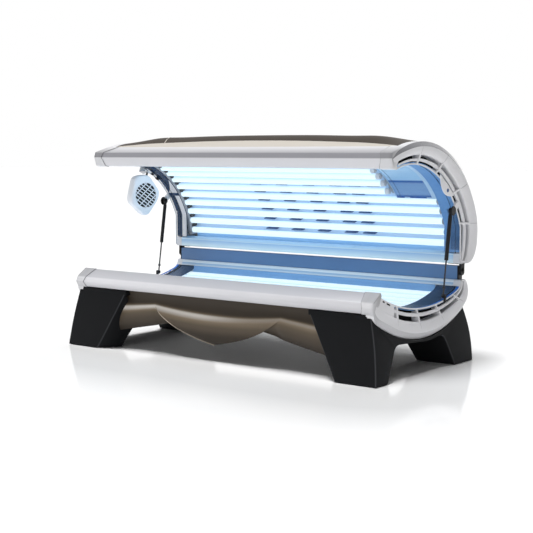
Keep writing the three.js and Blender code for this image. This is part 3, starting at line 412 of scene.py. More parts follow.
rimHalf, midHalf, sheetEnd = 1045, 1000, 1040.7
rimEdge = onArch(archR, 107.5)
hoodEdgeAngle = 106.6
hoodEdge = hoodAt + hoodR * np.array([math.cos(math.radians(hoodEdgeAngle)), math.sin(math.radians(hoodEdgeAngle))])
benchRailLine = np.array([railTop + [6, -18], railTop, railNose, railFront, railFoot, railFoot + [28, 0]])
hoodRailLine = np.vstack([hoodEdge, rimEdge + [[-39, 86], [-48, 58], [-30, 8], [-6, 4]]])

# End caps: rim, slat, fins and the rolled band, all between a rim line and an outer line
cap = dict(depth=45, bulge=25, wall=4, rimWidth=12, grille=0.4, reach=24, slatEnd=0.91, finHalf=5.4, flatEnd=0.15, seamHalf=0.9, seamDepth=2.2, lap=14, chevron=46)
bandSection = [
    (0.43, 0, -45), (0.43, 0, -44), (0.43, 0, -20), (0.43, 0, 4), (0.432, 0, 11), (0.446, 0, 14.5), (0.5, 0, 18.5),
    (0.58, 0, 22), (0.68, 0, 24.4), (0.77, 0, 25), (0.805, 0, 25), (0.82, 0, 24.2), (0.9, 0, 16.5), (0.975, 0, 9.2),
    (0.995, 0, 7), (1, 0, 4), (1, 0, -2), (1, 0, -44), (1, 0, -45), (1, -4, -45), (1, -4, 4), (0.82, -2, 20),
    (0.66, 0, 19), (0.5, 2, 13), (0.45, 3, 4), (0.43, 4, -12), (0.43, 4, -45),
]
rimSection = [(0, 0, -4), (0, 0, -3), (0, 0, 0.4), (0, 0.6, 1.2), (0, 7, 2), (0, 8, 1.4), (0, 8, -3), (0, 8, -4)]
slatSection = [(0.16, 0, -6), (0.16, 0, 3), (0.165, 0, 4.4), (0.21, 0, 6), (0.265, 0, 7.6), (0.275, 0, 6.6), (0.275, 0, -2)]
finSection = [(0, 0, -4), (0, 0, 1.6), (0.2, 0, 10), (0.43, 0, 16.5), (0.46, 0, 17.2), (0.46, 0, -30), (0.1, 6, -30),
              (0, 12, -12)]
endSection = [(0, 0, -4), (0, 0, 1), (0.2, 0, 7.5), (0.43, 0, 14.5), (0.55, 2, 19.5), (0.66, 0, 22), (0.8, 0, 24), (1, -2, 6),
              (1, -2, -45), (0, 24, -45), (0, 24, -4)]
fillSection = [(0, 6, -3), (0, 6, 1.7), (0.2, 0, 6.6), (0.43, 0, 13.8), (0.46, 0, 13), (0.46, 0, 4), (0.2, 0, -1)]
# the last two sections are painted shade: dark dashes and a dark sheet deep in the grille, behind the openings
shadeDashSection = [(0.065, 0, -1), (0.065, 0, 2.9), (0.12, 0, 4.7), (0.12, 0, -1)]
shadeSheetSection = [(0, 8, -36), (0, 8, -35), (0.44, 0, -35), (0.44, 0, -36)]


def cutCorners(profile, rounds):
    # closed corner cutting: every side gives its quarter and three-quarter points
    for _ in range(rounds):
        on = np.roll(profile, -1, 1)
        pair = np.stack([0.75 * profile + 0.25 * on, 0.25 * profile + 0.75 * on], 2)
        profile = pair.reshape(len(profile), -1, 2)
    return profile


def capSurface(rim, outer, section, shares, rounds=2, seams=(), darkBevel=0.0, inset=None, seamTo=2.0, taper=0.0):
    # place(t, k): the rim point at t, moved towards the outer point by a share of the width plus millimetres,
    # and raised along X; at a seam the skin dips by a small groove
    a, b = along(rim, shares), along(outer, shares)
    width = np.linalg.norm(b - a, axis=1)[:, None]
    way = (b - a) / width
    s = np.array(section, float)
    profile = np.stack([s[:, 0] * width + s[:, 1], np.broadcast_to(s[:, 2], (len(shares), len(s)))], -1)
    if inset is not None:  # draws the end rings of a fin in
        middle = profile.mean(1, keepdims=True)
        profile = middle + (profile - middle) * (1 - np.asarray(inset)[:, None, None])
    profile = cutCorners(profile, rounds)
    share, rise = profile[..., 0] / width, profile[..., 1].copy()
    skin = ramp(0.435, 0.45, share) * ramp(2, 6, rise) * (1 - ramp(0.985, 0.995, share)) * (1 - ramp(seamTo - 0.15, seamTo, share))
    length = np.linalg.norm(np.diff(rim, axis=0), axis=1).sum()
    near = np.zeros(len(shares))
    for t in seams:
        near = np.maximum(near, 1 - ramp(cap["seamHalf"] * 0.55, cap["seamHalf"] * 1.25, np.abs(shares - t) * length))
    rise -= cap["seamDepth"] * near[:, None] * skin
    # painted shade: the band's outer bevel is painted darker, fading along the cap; the seams get a dark joint line
    dark = darkBevel * (1 - 0.75 * ramp(0.3, 0.75, shares))[:, None] * ramp(0.785, 0.812, share) * ramp(3, 6, rise)
    tone = np.maximum(dark, 0.9 * near[:, None] * skin)
    swell = 0.1 + 0.9 * ramp(0, cap["flatEnd"], shares)[:, None]  # the bulge dies out where the cap meets its rail
    swell = swell * (1 - taper * ramp(0.86, 1, shares)[:, None])
    rise = np.where(rise > 0, rise * swell, rise)
    y = a[:, :1] + way[:, :1] * profile[..., 0]
    z = a[:, 1:] + way[:, 1:] * profile[..., 0]
    return shell(np.stack([rimHalf + rise, y, z], -1), closeV=True, lids=True, tone=tone)


def sleeve(outerLine, innerLine, tone):
    # the return's thin lap over the rail: its edge runs in a chevron, furthest out at the nose
    line = np.concatenate([outerLine, innerLine[::-1]])
    nose = outerLine[np.argmin(outerLine[:, 0])]
    start = midHalf - cap["lap"] - cap["chevron"] * np.abs(line[:, 1] - nose[1]) / np.ptp(line[:, 1])
    rows = np.array([0, 0.05, 0.09, 0.4, 0.7, 1])[:, None]
    x = start + (midHalf + 2 - start) * rows
    grid = np.broadcast_to(line, (6,) + line.shape)
    # tone brings the rail's painted facet shade onto the lap
    tones = np.maximum(np.concatenate([tone, 0 * tone]), 1.0 * (rows < 0.07))  # a dark joint line along the edge
    return shell(np.concatenate([x[..., None], grid], -1), closeV=True, lids=True, tone=tones)


def endCap(rim, outer, fins, railLine, railRound, returnEnd, darkBevel, returnPaintedShade, closedBay, rearSkin):
    length = np.linalg.norm(np.diff(rim, axis=0), axis=1).sum()
    half, edge = cap["finHalf"] / length, cap["seamHalf"] / length
    marks = [t + edge * d for t in fins for d in (-1.6, -1.25, -0.9, -0.55, 0, 0.55, 0.9, 1.25, 1.6)]
    shares = np.unique(np.concatenate([np.linspace(0, 1, 150), marks]))
    finShare = half * np.array([-1, -0.75, 0.75, 1])
    finInset = [0.02, 0, 0, 0.02]

    def part(section, cuts, rounds=0, **more):
        return capSurface(rim, outer, section, cuts, rounds, taper=0.7 if closedBay else 0.0, **more)

    shells = [
        part(bandSection, shares, 2, seams=fins, darkBevel=darkBevel, seamTo=0.72 if closedBay else 2.0),
        part(rimSection, np.linspace(0, 1, 120), 1),
        part(slatSection, np.linspace(0.15 if closedBay else 0.03, 0.985, 110), 1),
        part(finSection, np.linspace(0, 3 * half, 4), inset=[0.0, 0, 0, 0.02]),
        part(endSection, np.linspace(1 - 2 * half, 1, 4), inset=[0.02, 0, 0, 0.0]),
    ]
    shells += [part(finSection, t + finShare, inset=finInset) for t in fins]
    if closedBay:
        shells.append(part(fillSection, np.linspace(0, 0.168, 24), 1))
    line = filleted(railLine, railRound, 6)
    outerLine = shifted(line, -3)
    # the return takes on the rail's painted facet shade
    wallPaintedShade = np.concatenate([returnPaintedShade(outerLine), np.zeros(len(line))])
    shells.append(bar(np.concatenate([outerLine, shifted(line, 4)[::-1]]), midHalf, returnEnd - 6, 0.8, wallPaintedShade))
    shells.append(sleeve(outerLine, shifted(line, -0.3), returnPaintedShade(outerLine)))
    shells.append(bar(outerLine, returnEnd - 14, returnEnd, 5.0, returnPaintedShade(outerLine), 6))
    shells.append(bar(rearSkin, midHalf, rimHalf - 1.5, 0.8))
    return shells


def nosePaintedShade(line, share=0.5):
    # painted shade: the canopy rail's upright facet is painted dark, the faces above it a little less and more so
    # towards the right end, the rest faintly; share runs from the left end to the right
    low, high = rimEdge[1] + 58, rimEdge[1] + 86
    z = line[:, 1]
    above = ramp(high - 1.5, high + 1.5, z)
    return (0.8 * ramp(low - 1.5, low + 1.5, z) * (1 - above) + (0.54 + 0.13 * share) * above + 0.1)\
        * (line[:, 0] < rimEdge[0] - 20)


def topPaintedShade(line, share=0.5):
    # painted shade: the bench rail's top facet and its foot are painted darker than its nose, and the right end darker
    # than the left
    z = line[:, 1]
    top, foot = ramp(railNose[1] - 5, railNose[1] + 9, z), 1 - ramp(railFoot[1], railFront[1] + 4, z)
    return (0.66 + 0.14 * share) * top + 0.26 * share * (1 - top) + 0.25 * foot


def railPaintedShade(shadeOf, skin):
    # painted facet shade for a rail's eight rings, from the left end's to the right end's
    rows = np.stack([shadeOf(skin, share) for share in (0, 1)])
    return np.repeat(np.concatenate([rows, 0 * rows], 1), 4, 0)


hullRear = hullArc(410, 410, 2)[0]
rearRailLine = [(386 - 13 * s, rearRailZ - 34 * s) for s in (1, 0.6, 0.52, 0.45, 0)]
rearRailLine += [(436, rearRailZ), (452, rearRailZ - 20), (457, rearRailZ - 50), (444, rearRailZ - 104)]
rearRailLine.append((hullRear[0] + 2, hullRear[1] + 4))
rearSkin = filleted(rearRailLine, 6, 5)
bendShare = 0.28
hoodRearLine = np.vstack([
    [(402, hoodFootZ + 66)] + [(372 + (z - 6) / 24, hoodFootZ + z) for z in (54, 45, 44, 6)],
    [(378, hoodFootZ), (448, hoodFootZ)],
    hoodBend[::-1][14 : int(200 * bendShare) : 14],
])
hoodRearSkin = filleted(hoodRearLine, 6, 5)
benchCap = endCap(benchRim, benchOuter, [0.2, 0.42, 0.64, 0.855], benchRailLine, 7, rimHalf + 2, 0.45, topPaintedShade, True,
                  strip(rearSkin, 0, -4))
putPair("BenchEndCap", benchCap, capGrey, "base", "bench_end_cap", 34)
canopyCap = endCap(archRim, hoodOuter, [0.2, 0.4, 0.6, 0.79], hoodRailLine, 5, rimHalf + 2, 1.0, nosePaintedShade, False,
                   strip(hoodRearSkin, 0, 4))
putPair("CanopyEndCap", canopyCap, capGrey, "canopy", "canopy_end_cap", 34)
# dark sheets deep in both grilles and dark dashes in the bench's closed bay: painted shade behind the openings
benchGrilleShade = [capSurface(benchRim, benchOuter, shadeSheetSection, np.linspace(0.02, 0.985, 90), 0)]
benchGrilleShade += [capSurface(benchRim, benchOuter, shadeDashSection, np.linspace(a, b, 8), 0) for a, b in ((0.046, 0.066), (0.088, 0.122))]
putPair("BenchGrilleShade", benchGrilleShade, grilleShadeBlack, "base", None)
canopyGrilleShade = [capSurface(archRim, hoodOuter, shadeSheetSection, np.linspace(0.02, 0.985, 90), 0)]
putPair("CanopyGrilleShade", canopyGrilleShade, grilleShadeBlack, "canopy", None)
print("stage: end caps made")

# Rails
railEnd = 999.7
benchRailSkin = filleted(benchRailLine, 7, 6)
putPiece("benchFrontRail", [bar(strip(benchRailSkin, 0, 4), -railEnd, railEnd, 0.8, railPaintedShade(topPaintedShade, benchRailSkin))], railSilver, "base",
         ("bench_front_rail",))
rearOutline, hoodRearOutline = strip(rearSkin, 0, -4), strip(hoodRearSkin, 0, 4)
# silver behind; in front a groove line, and the blue running out to pale below it is painted lamp light and shade
rearSilverAndPaintedLight, hoodRearSilverAndPaintedLight = ramp(424, 440, rearOutline[:, 0]), ramp(434, 450, hoodRearOutline[:, 0])
drop = (rearRailZ - rearOutline[:, 1]) / 34
rearSilverAndPaintedLight -= (rearOutline[:, 0] < 388) * np.interp(drop, [0, 0.45, 0.52, 0.6, 1], [0, 0, 1, 0.9, 0])
rise = hoodRearOutline[:, 1] - hoodFootZ
hoodRearSilverAndPaintedLight -= (hoodRearOutline[:, 0] < 384) * np.interp(rise, [6, 43.6, 44.4, 45.4, 54], [0.9, 0.1, 0, 0.7, 0.3])
putPiece("benchRearRail", [bar(rearOutline, -railEnd, railEnd, 0.8, rearSilverAndPaintedLight)], railBlueBrightCopy, "base", ("bench_rear_rail",))
hoodRailSkin = filleted(hoodRailLine, 4, 5)
putPiece("canopyFrontRail", [bar(strip(hoodRailSkin, 0, 4), -railEnd, railEnd, 0.8, railPaintedShade(nosePaintedShade, hoodRailSkin))], railSilver, "canopy",
         ("canopy_front_rail",))
putPiece("canopyRearRail", [bar(hoodRearOutline, -railEnd, railEnd, 0.8, hoodRearSilverAndPaintedLight)], railBlue, "canopy",
         ("canopy_rear_rail",))
print("stage: rails made")

# Hood skins: stations round the hood against X
hood = dict(crown=40, bump=9, bumpX=780, bumpSpan=140, thickness=3)


def hoodTop(x, station):
    # place(station, x): the hood line at that station, pushed out by crown (1 - |x / half|^3) and a hump near each
    # end, times a swell that fades at both edges; also the way out
    a = np.radians(np.maximum(station, 25))
    y, z = hoodAt[0] + hoodR * np.cos(a), hoodAt[1] + hoodR * np.sin(a)
    low = np.clip(1 - station / 25, 0, 1) * 199
    k = np.minimum(low.astype(int), 198)
    part = (low - k)[..., None]
    bend = hoodBend[k] * (1 - part) + hoodBend[k + 1] * part
    y, z = np.where(station < 25, bend[..., 0], y), np.where(station < 25, bend[..., 1], z)
    swell = ramp(hoodEdgeAngle, 88, station) * ramp(6, 40, station)
    hump = hood["bump"] * np.exp(-(((np.abs(x) - hood["bumpX"]) / hood["bumpSpan"]) ** 2)) * ramp(40, 70, station)
    grow = (hood["crown"] * np.maximum(1 - np.abs(x / midHalf) ** 3, 0) + hump) * swell
    out = np.stack([y - hoodAt[0], z - hoodAt[1]], -1)
    out /= np.linalg.norm(out, axis=-1, keepdims=True)
    return np.stack([y, z], -1) + out * grow[..., None], out


def hoodSkin(fromStation, toStation, rows, columns=161):
    # the hood's surface between two station lines; the second side lies a wall's thickness under the first
    x = np.linspace(-railEnd, railEnd, columns)[:, None]
    station = fromStation(x) + (toStation(x) - fromStation(x)) * np.linspace(0, 1, rows)[None, :]
    top, out = hoodTop(x, station)
    ring = np.concatenate([top, (top - out * hood["thickness"])[:, ::-1]], 1)
    return shell(np.concatenate([np.broadcast_to(x[..., None], ring.shape[:2] + (1,)), ring], -1), closeV=True, lids=True)


def trimStation(x):
    return 98.5 + 4.5 * (x / midHalf) ** 2 + 2.6 * (x / midHalf) ** 10


def seamBead():
    # a low bead that runs from the trim's edge slantwise back to the left end
    station = np.linspace(100.2, 44, 110)[:, None]
    u, rise = np.array([[-3, -3, -1.6, 1.6, 3, 3]]), np.array([[-0.8, 0.3, 1.0, 1.0, 0.3, -0.8]])
    x = -650 - 6 * (100 - station) + u
    top, out = hoodTop(x, station + 0 * u)
    return shell(np.concatenate([x[..., None], top + out * rise[..., None]], -1), closeV=True, lids=True)


trimStrip = hoodSkin(lambda x: hoodEdgeAngle - 0.06 + 0 * x, lambda x: trimStation(x) + 0.04, 9)
putPiece("canopyTrimStrip", [trimStrip], champagne, "canopy", ("canopy_trim_strip",))
topShell = hoodSkin(lambda x: trimStation(x) - 0.04, lambda x: 25 * (bendShare + 0.015) + 0 * x, 60)
putPiece("canopyTopShell", [topShell], shellBrown, "canopy", ("canopy_top_shell",))
putPiece("canopySeam", [seamBead()], champagne, "canopy", (), 50)
print("stage: hood made")

# Tub, legs, pads
tubLine = chained([(-440, railFoot[1] - 4)], hullArc(-440, 402, 70))
fanX = -600
tubSkin = strip(filleted(tubLine, 6, 4), 0, 3)
putPiece("benchTub", [bar(tubSkin, -railEnd, railEnd, 0.8)], tubGrey, "base", ())
leg = dict(footX=1090, headX=1026, footWidth=242, headWidth=380, frontFootY=-548, frontHeadY=-487, frontDepth=114,
           rearFrontY=250, rearDepth=200, archTop=168, headZ=351.4, archRound=46, belly=9, splay=90)


def legFrame():
    # ring(s): a quadrilateral between the outer side line at s (front edge, underside of the cap, rear edge) and the
    # inner side line at s (front arch edge, arch top, rear arch edge), from the inner face's X to the outer face's X
    under = shifted(along(benchOuter, np.linspace(0.012, 0.86, 80)), -2.2)
    rearTop = under[-1]
    front = bezierLine([(leg["frontFootY"], 4), (-524, 170), under[0] + [0.5, -2]], 30)
    rearFoot = leg["rearFrontY"] + leg["rearDepth"]
    rear = bezierLine([rearTop, (rearTop[0] + 40, 200), (rearFoot + 6, 100), (rearFoot, 4)], 40)
    outer = chained(front, under, rear)
    archFront = leg["frontFootY"] + leg["frontDepth"]
    top = leg["archTop"]
    inner = [(archFront, 4), (archFront + 0.63 * top, top + 14), (0, top - 4), (leg["rearFrontY"] - 0.55 * top, top + 14), (leg["rearFrontY"], 4)]
    inner = filleted(inner, leg["archRound"], 8)
    cuts = np.concatenate([np.linspace(0, 0.26, 40), np.linspace(0.26, 0.78, 60)[1:], np.linspace(0.78, 1, 40)[1:]])
    o, i = along(outer, cuts), along(inner, cuts)

    def outX(z):
        return leg["footX"] + (leg["headX"] - leg["footX"]) * z / leg["headZ"] + leg["belly"] * np.sin(np.pi * z / leg["headZ"])

    def inX(z, rearward, splay):
        foot, head = leg["footX"] - leg["footWidth"], leg["headX"] - leg["headWidth"]
        return foot + (head - foot) * z * (1 - 0.4 * rearward) / leg["headZ"] - splay * (1 - rearward) * (1 - z / leg["headZ"])

    rearward = ramp(-200, 150, o[:, 0])
    corners = np.stack([
        np.column_stack([outX(o[:, 1]), o]),
        np.column_stack([outX(i[:, 1]), i]),
        np.column_stack([inX(i[:, 1], rearward, leg["splay"]), i]),
        np.column_stack([inX(o[:, 1], rearward, 0), o]),
    ], 1)
    on, back = np.roll(corners, -1, 1) - corners, np.roll(corners, 1, 1) - corners
    lengthOn, lengthBack = np.linalg.norm(on, axis=-1, keepdims=True), np.linalg.norm(back, axis=-1, keepdims=True)
    hold = np.minimum(7.0, 0.3 * np.minimum(lengthOn, lengthBack))
    a, b = corners + back / lengthBack * hold, corners + on / lengthOn * hold
    t = np.linspace(0, 1, 5)[None, None, :, None]
    ring = (1 - t) ** 2 * a[:, :, None] + 2 * t * (1 - t) * corners[:, :, None] + t**2 * b[:, :, None]
    # painted highlights: the outer edges of both faces, and the rear foot's arch edge, are painted lighter
    edge = np.zeros((len(cuts), 4, 5))
    edge[:, 0, 1:4] = 0.5  # the outer edges get a painted highlight
    edge[:, 3, 1:4] = 0.35
    edge[cuts > 0.74, 1, 1:4] = 0.4
    return shell(ring.reshape(len(cuts), -1, 3), closeV=True, lids=True, tone=edge.reshape(len(cuts), -1))


legHead = box(650, 1006, -504, -430, 322, 350, 4, 3)
putPair("LegFrame", [legFrame(), legHead], legBlack, "base", "leg_frame", 40)
for spot, y0 in (("front", -538), ("rear", 260)):
    depth = 94 if spot == "front" else 180
    putPair(spot.title() + "FootPad", [box(858, 1080, y0, y0 + depth, 0, 3.7, 1.2, 1.2)], rubber, "base", f"{spot}_foot_pad")
print("stage: legs made")

# Skirt: the long panel, and the sail that hangs in front of its middle
skirt = dict(topY=-476, end=799, sailHalf=450, apexZ=95, sailProud=13, thickness=3)


def creaseZ(x):
    d = np.abs(x)
    return np.where(d < skirt["sailHalf"], 246 + 31 * (d / skirt["sailHalf"]) ** 2, 277 - 0.11 * (d - skirt["sailHalf"]))


def panelHem(x):
    return 186 - 0.19 * (np.abs(x) - 330)


def sailHem(x):
    s = np.abs(x) / skirt["sailHalf"]
    return skirt["apexZ"] + (277 - skirt["apexZ"]) * (0.62 * s**1.15 + 0.38 * s**4)


def walled(front, thickness):
    # a sheet given its back: the same grid moved in by thickness along +Y, joined round all four edges
    back = front + [0, thickness, 0]
    ring = np.concatenate([front, back[:, ::-1]], 1)
    return ring


def skirtPanel():
    # y(x, v): hollow from the top to the crease, then a belly down to the hem; v = 0 at the top, 1 at the crease, 2 at the hem
    x = np.linspace(-skirt["end"], skirt["end"], 241)[:, None]
    v = np.concatenate([np.linspace(0, 1, 24), np.linspace(1, 2, 26)[1:]])[None, :]
    top, crease, hem = railFoot[1] - 2, creaseZ(x), np.minimum(panelHem(x), creaseZ(x) - 30)
    z = np.where(v <= 1, top + (crease - top) * v, crease + (hem - crease) * (v - 1))
    upper = 13 * np.sin(np.pi * np.clip(v, 0, 1)) + 3 * v
    below, clear = np.clip(v - 1, 0, 1), ramp(skirt["sailHalf"] - 70, skirt["sailHalf"] + 10, np.abs(x))
    lower = 3 - 14 * clear * np.sin(np.pi * 0.6 * below) ** 0.8 + 34 * below**2.2 + 9 * (1 - clear) * below
    y = skirt["topY"] + np.where(v <= 1, upper, lower) + 0 * z
    front = np.stack([np.broadcast_to(x, z.shape), y, z], -1)
    # painted light and shade: the upper band is painted dark as shade under the rail, a painted highlight runs along
    # the crease and fades to the right, the belly darkens down to the hem, and the back is painted dark
    paintedLight = 0.88 * (1 - ramp(0.84, 0.98, v)) + 0.52 * ramp(1.04, 1.3, v) + 0.22 * ramp(1.2, 1.6, v)
    paintedLight = paintedLight + 0.18 * ramp(1.5, 2.0, v) - np.exp(-(((v - 1.0) / 0.14) ** 2)) * (1 - 0.75 * ramp(-150, 260, x))
    tone = np.concatenate([paintedLight, np.ones(z.shape) * 0.94], 1)
    return shell(walled(front, skirt["thickness"]), closeV=True, lids=True, tone=tone)


def skirtSail():
    # v runs from the crease to the sail's own hem; it stands proud more and more towards the tip
    x = np.linspace(-skirt["sailHalf"] + 6, skirt["sailHalf"] - 6, 201)[:, None]
    v = np.linspace(0, 1, 30)[None, :]
    crease, hem = creaseZ(x), sailHem(x)
    z = crease + (hem - crease) * v
    drop = (crease - z) / (crease.max() - skirt["apexZ"])
    lift = skirt["sailProud"] * ramp(0, 0.22, drop)
    y = skirt["topY"] + 2.4 - lift - 8 * np.sin(np.pi * 0.7 * drop) + 22 * drop**2.4
    front = np.stack([np.broadcast_to(x, z.shape), y, z], -1)
    # painted light and shade: a painted highlight under the crease that fades to the right, darkening towards the
    # sail's tip, and the back painted dark
    paintedLight = 0.64 * ramp(0.05, 0.32, drop) + 0.25 * ramp(0.3, 0.6, drop) + 0.09 * ramp(0.55, 1.0, drop)
    paintedLight = paintedLight - 0.9 * np.exp(-((drop / 0.11) ** 2)) * (1 - 0.75 * ramp(-150, 260, x))
    tone = np.concatenate([paintedLight, np.ones(z.shape) * 0.94], 1)
    return shell(walled(front, skirt["thickness"] + 2), closeV=True, lids=True, tone=tone)


def sailHighlightBead():
    # a thin bead along the left half of the sail's hem, in a lighter bronze: a painted highlight where light catches
    # the hem
    x = np.linspace(-skirt["sailHalf"] + 8, 0, 121)[:, None]
    z = sailHem(x)
    drop = (creaseZ(x) - z) / (277 - skirt["apexZ"])
    y = skirt["topY"] + 2.4 - skirt["sailProud"] * ramp(0, 0.22, drop) - 8 * np.sin(np.pi * 0.7 * drop) + 22 * drop**2.4
    a = np.linspace(0, 2 * np.pi, 8, endpoint=False)[None, :]
    ring = np.stack([x + 0 * a, y + 1.5 + 2.6 * np.cos(a), z + 2.6 * np.sin(a)], -1)
    return shell(ring, closeV=True, lids=True)


putPiece("skirtSailHighlightBead", [sailHighlightBead()], bronzeHighlight, "base", (), 60)
putPiece("frontSkirt", [skirtPanel(), skirtSail()], bronze, "base", ("front_skirt",), 28)
print("stage: skirt made")

# Bench interior
benchLamps = dict(count=12, pitch=65, radius=19, length=1900)
sheetTop = dish["radius"] + 2
lampLine = sheetTop + 5 + 13 + benchLamps["radius"]
holderX = 944
benchSheetLine = shifted(along(benchRim, np.linspace(0, 0.955, 90)), -2)
putPiece("benchAcrylic", [bar(strip(benchSheetLine, 0, -5), -sheetEnd, sheetEnd, 0.8)], clearSheet, "base",
         ("bench_acrylic",))
reflectorLine = chained([(-444, frontEdge[1] - 16)], dishArc(lampLine + 27, -405, 348, 70), [(371, rearRailZ - 50)])
putPiece("benchReflector", [bar(strip(reflectorLine, 0, -2), -holderX + 0.3, holderX - 0.3, 0.5)], reflectorBlue,
         "base", ("bench_reflector",))
# a saturated blue strip from the reflector's rear end up to the rail: painted lamp light
rearLitStrip = np.array([reflectorLine[-2], reflectorLine[-1], (372, rearRailZ - 35.5)])
putPiece("benchRearLitStrip", [bar(strip(rearLitStrip, 0.4, 1.6), 52.4 - holderX, holderX - 52.4, 0.4)], paintedLampBlue, "base", ())


def lampAt(x0, x1, place, towards):
    # a plain tube to lie between two narrower metal ends; its tone falls off from the side that faces towards to the
    # flanks
    length, r = x1 - x0, benchLamps["radius"]
    tube = turned([[r, 5], [r, length - 24]], [x0, *place], [1, 0, 0], 24)
    inward = (towards - np.asarray(place)) / np.linalg.norm(towards - np.asarray(place))
    facing = (tube["points"][:, 1:] - place) @ inward / r
    return dict(tube, tone=1 - ramp(-0.35, 0.75, facing))


def lampEnds(x0, x1, place):
    r = benchLamps["radius"]
    ends = []
    for start, way in ((x0, 1), (x1, -1)):
        profile = [[r - 4, 0], [r - 1.4, 1.5], [r - 1.4, 19], [r + 0.4, 21], [r + 0.4, 25]]
        ends.append(turned(profile, [start, *place], [way, 0, 0], 24))
    return ends


benchAngles = [math.degrees((k - (benchLamps["count"] - 1) / 2) * benchLamps["pitch"] / lampLine) - 90 for k in range(benchLamps["count"])]
benchPlaces = [arcLine((0, dishZ), lampLine, a, a, 2)[0] for a in benchAngles]
putPiece("benchLampTubes", [lampAt(-950, 950, p, np.array([0, dishZ])) for p in benchPlaces], lampGlow, "base", ("bench_lamp_bank",))
holderLine = dishArc(dish["radius"] + 14, -400, 400, 40)
holderBack = lampLine + 27 + 4 - dish["radius"] - 14
benchHolder = [bar(strip(holderLine, 0, -holderBack), holderX, holderX + 34, 1.2)]
benchHolder += [box(holderX, holderX + 34, y, y + 30, 190, 318, 2, 1) for y in (-130, 100)]
ends = [e for p in benchPlaces for e in lampEnds(-950, 950, p)]
putPiece("benchLampHolders", benchHolder + [mirrored(s) for s in benchHolder] + ends, holderGrey, "base", ())
coverShares = np.linspace(0.067, 0.985, 70)
coverLine = shifted(along(benchRim, coverShares), -10.2)
coverPaintedReflection = 0.75 * (1 - ramp(0.36, 0.43, coverShares))  # its low part is painted lighter: a painted reflection of the lamps
endPanel = bar(strip(coverLine, 0, -3), holderX - 52, sheetEnd, 0.8, np.concatenate([coverPaintedReflection, coverPaintedReflection[::-1]]))
putPair("BenchEndPanel", [endPanel], panelNavy, "base", "bench_end_panel")
putPair("BenchSheetEdge", [bar(strip(benchSheetLine, 0.2, 1.4), sheetEnd - 16, sheetEnd, 0.4)], edgeBlue, "base", None)
print("stage: bench interior made")

# Hinge beam, stubs and arms
beam = dict(y0=390, y1=434, end=1017, z0=rearRailZ + 0.3, z1=rearRailZ + 76)
putPiece("hingeBeam", [box(-beam["end"], beam["end"], beam["y0"], beam["y1"], beam["z0"], beam["z1"], 4, 1.5)], beamBlue, "base",
         ("hinge_beam",))
stub = [
    box(beam["end"] + 0.3, beam["end"] + 8, beam["y0"], beam["y1"], beam["z0"], beam["z1"], 4, 1.5),
    pin(7, beam["end"] + 4, 1043, hinge),
]
putPair("HingeStub", stub, blackMetal, "base", "hinge_stub")
arm = [
    pin(22, 1027, 1040, hinge, 1.5, 48),
    box(1027, 1040, 392, 432, hinge[1], hoodFootZ - 0.3, 3, 1.2),
    box(957, 1040, 392, 436, hoodFootZ - 4, hoodFootZ - 0.3, 1.2, 1.0),
]
putPair("HingeArm", arm, blackMetal, "canopy", "hinge_arm")

# Gas struts
strut = dict(x=1040, low=np.array([195, float(dishHeight(195)) + 21.4]), high=onArch(505, 36.3), seat=1047.3, plate=1052.5)
strutSpan = float(np.linalg.norm(strut["high"] - strut["low"]))
strutWay = np.array([0, *(strut["high"] - strut["low"]) / strutSpan])
lowAt = [strut["x"], *strut["low"]]
rod = [
    turned([[4.5, 9], [4.5, 38], [7.4, 39.5], [8, 41], [8, 49], [7.4, 50.5], [4.5, 52], [4.5, 216], [8.2, 218], [8.2, 230]], lowAt, strutWay, 28),
    pin(12, strut["x"] - 6, strut["x"] + 6, strut["low"], 1.5),
]
putPair("StrutRod", rod, rodSteel, "{side}_strut_rod", "strut_rod")
cylinder = [
    turned([[5.2, 192], [9.6, 192], [11, 193.6], [11, strutSpan - 30], [9.5, strutSpan - 26], [8.5, strutSpan - 14]], lowAt, strutWay, 32),
    pin(17, strut["x"] - 6, strut["x"] + 6, strut["high"], 2.0, 40),
]
putPair("StrutCylinder", cylinder, blackMetal, "{side}_strut_cylinder", "strut_cylinder")
stud = [
    pin(11, strut["seat"], strut["seat"] + 8, strut["low"], 1.5),
    box(strut["seat"], strut["seat"] + 8, strut["low"][0] - 9, strut["low"][0] + 9, strut["low"][1] - 30, strut["low"][1], 3, 1.5),
    pin(5, strut["x"] - 10, strut["seat"] + 7, strut["low"]),
]
putPair("StrutStud", stud, blackMetal, "base", "strut_stud")
seatPlate = [
    swung(box(strut["seat"], strut["plate"] + 8, archAt[0] + 534, archAt[0] + 574, archAt[1] - 17, archAt[1] + 17, 4, 1.5), 36.3, archAt),
    swung(box(strut["plate"], strut["plate"] + 6, archAt[0] + 505, archAt[0] + 574, archAt[1] - 17, archAt[1] + 17, 4, 1.5), 36.3, archAt),
]
putPair("StrutSeat", seatPlate, capGrey, "canopy", None)
knob = [pin(26, strut["plate"], strut["plate"] + 8, strut["high"], 2.5, 48), pin(5, strut["x"] - 10, strut["plate"] + 7, strut["high"])]
putPair("StrutBracket", knob, blackMetal, "canopy", "strut_bracket")
print("stage: hinge and struts made")

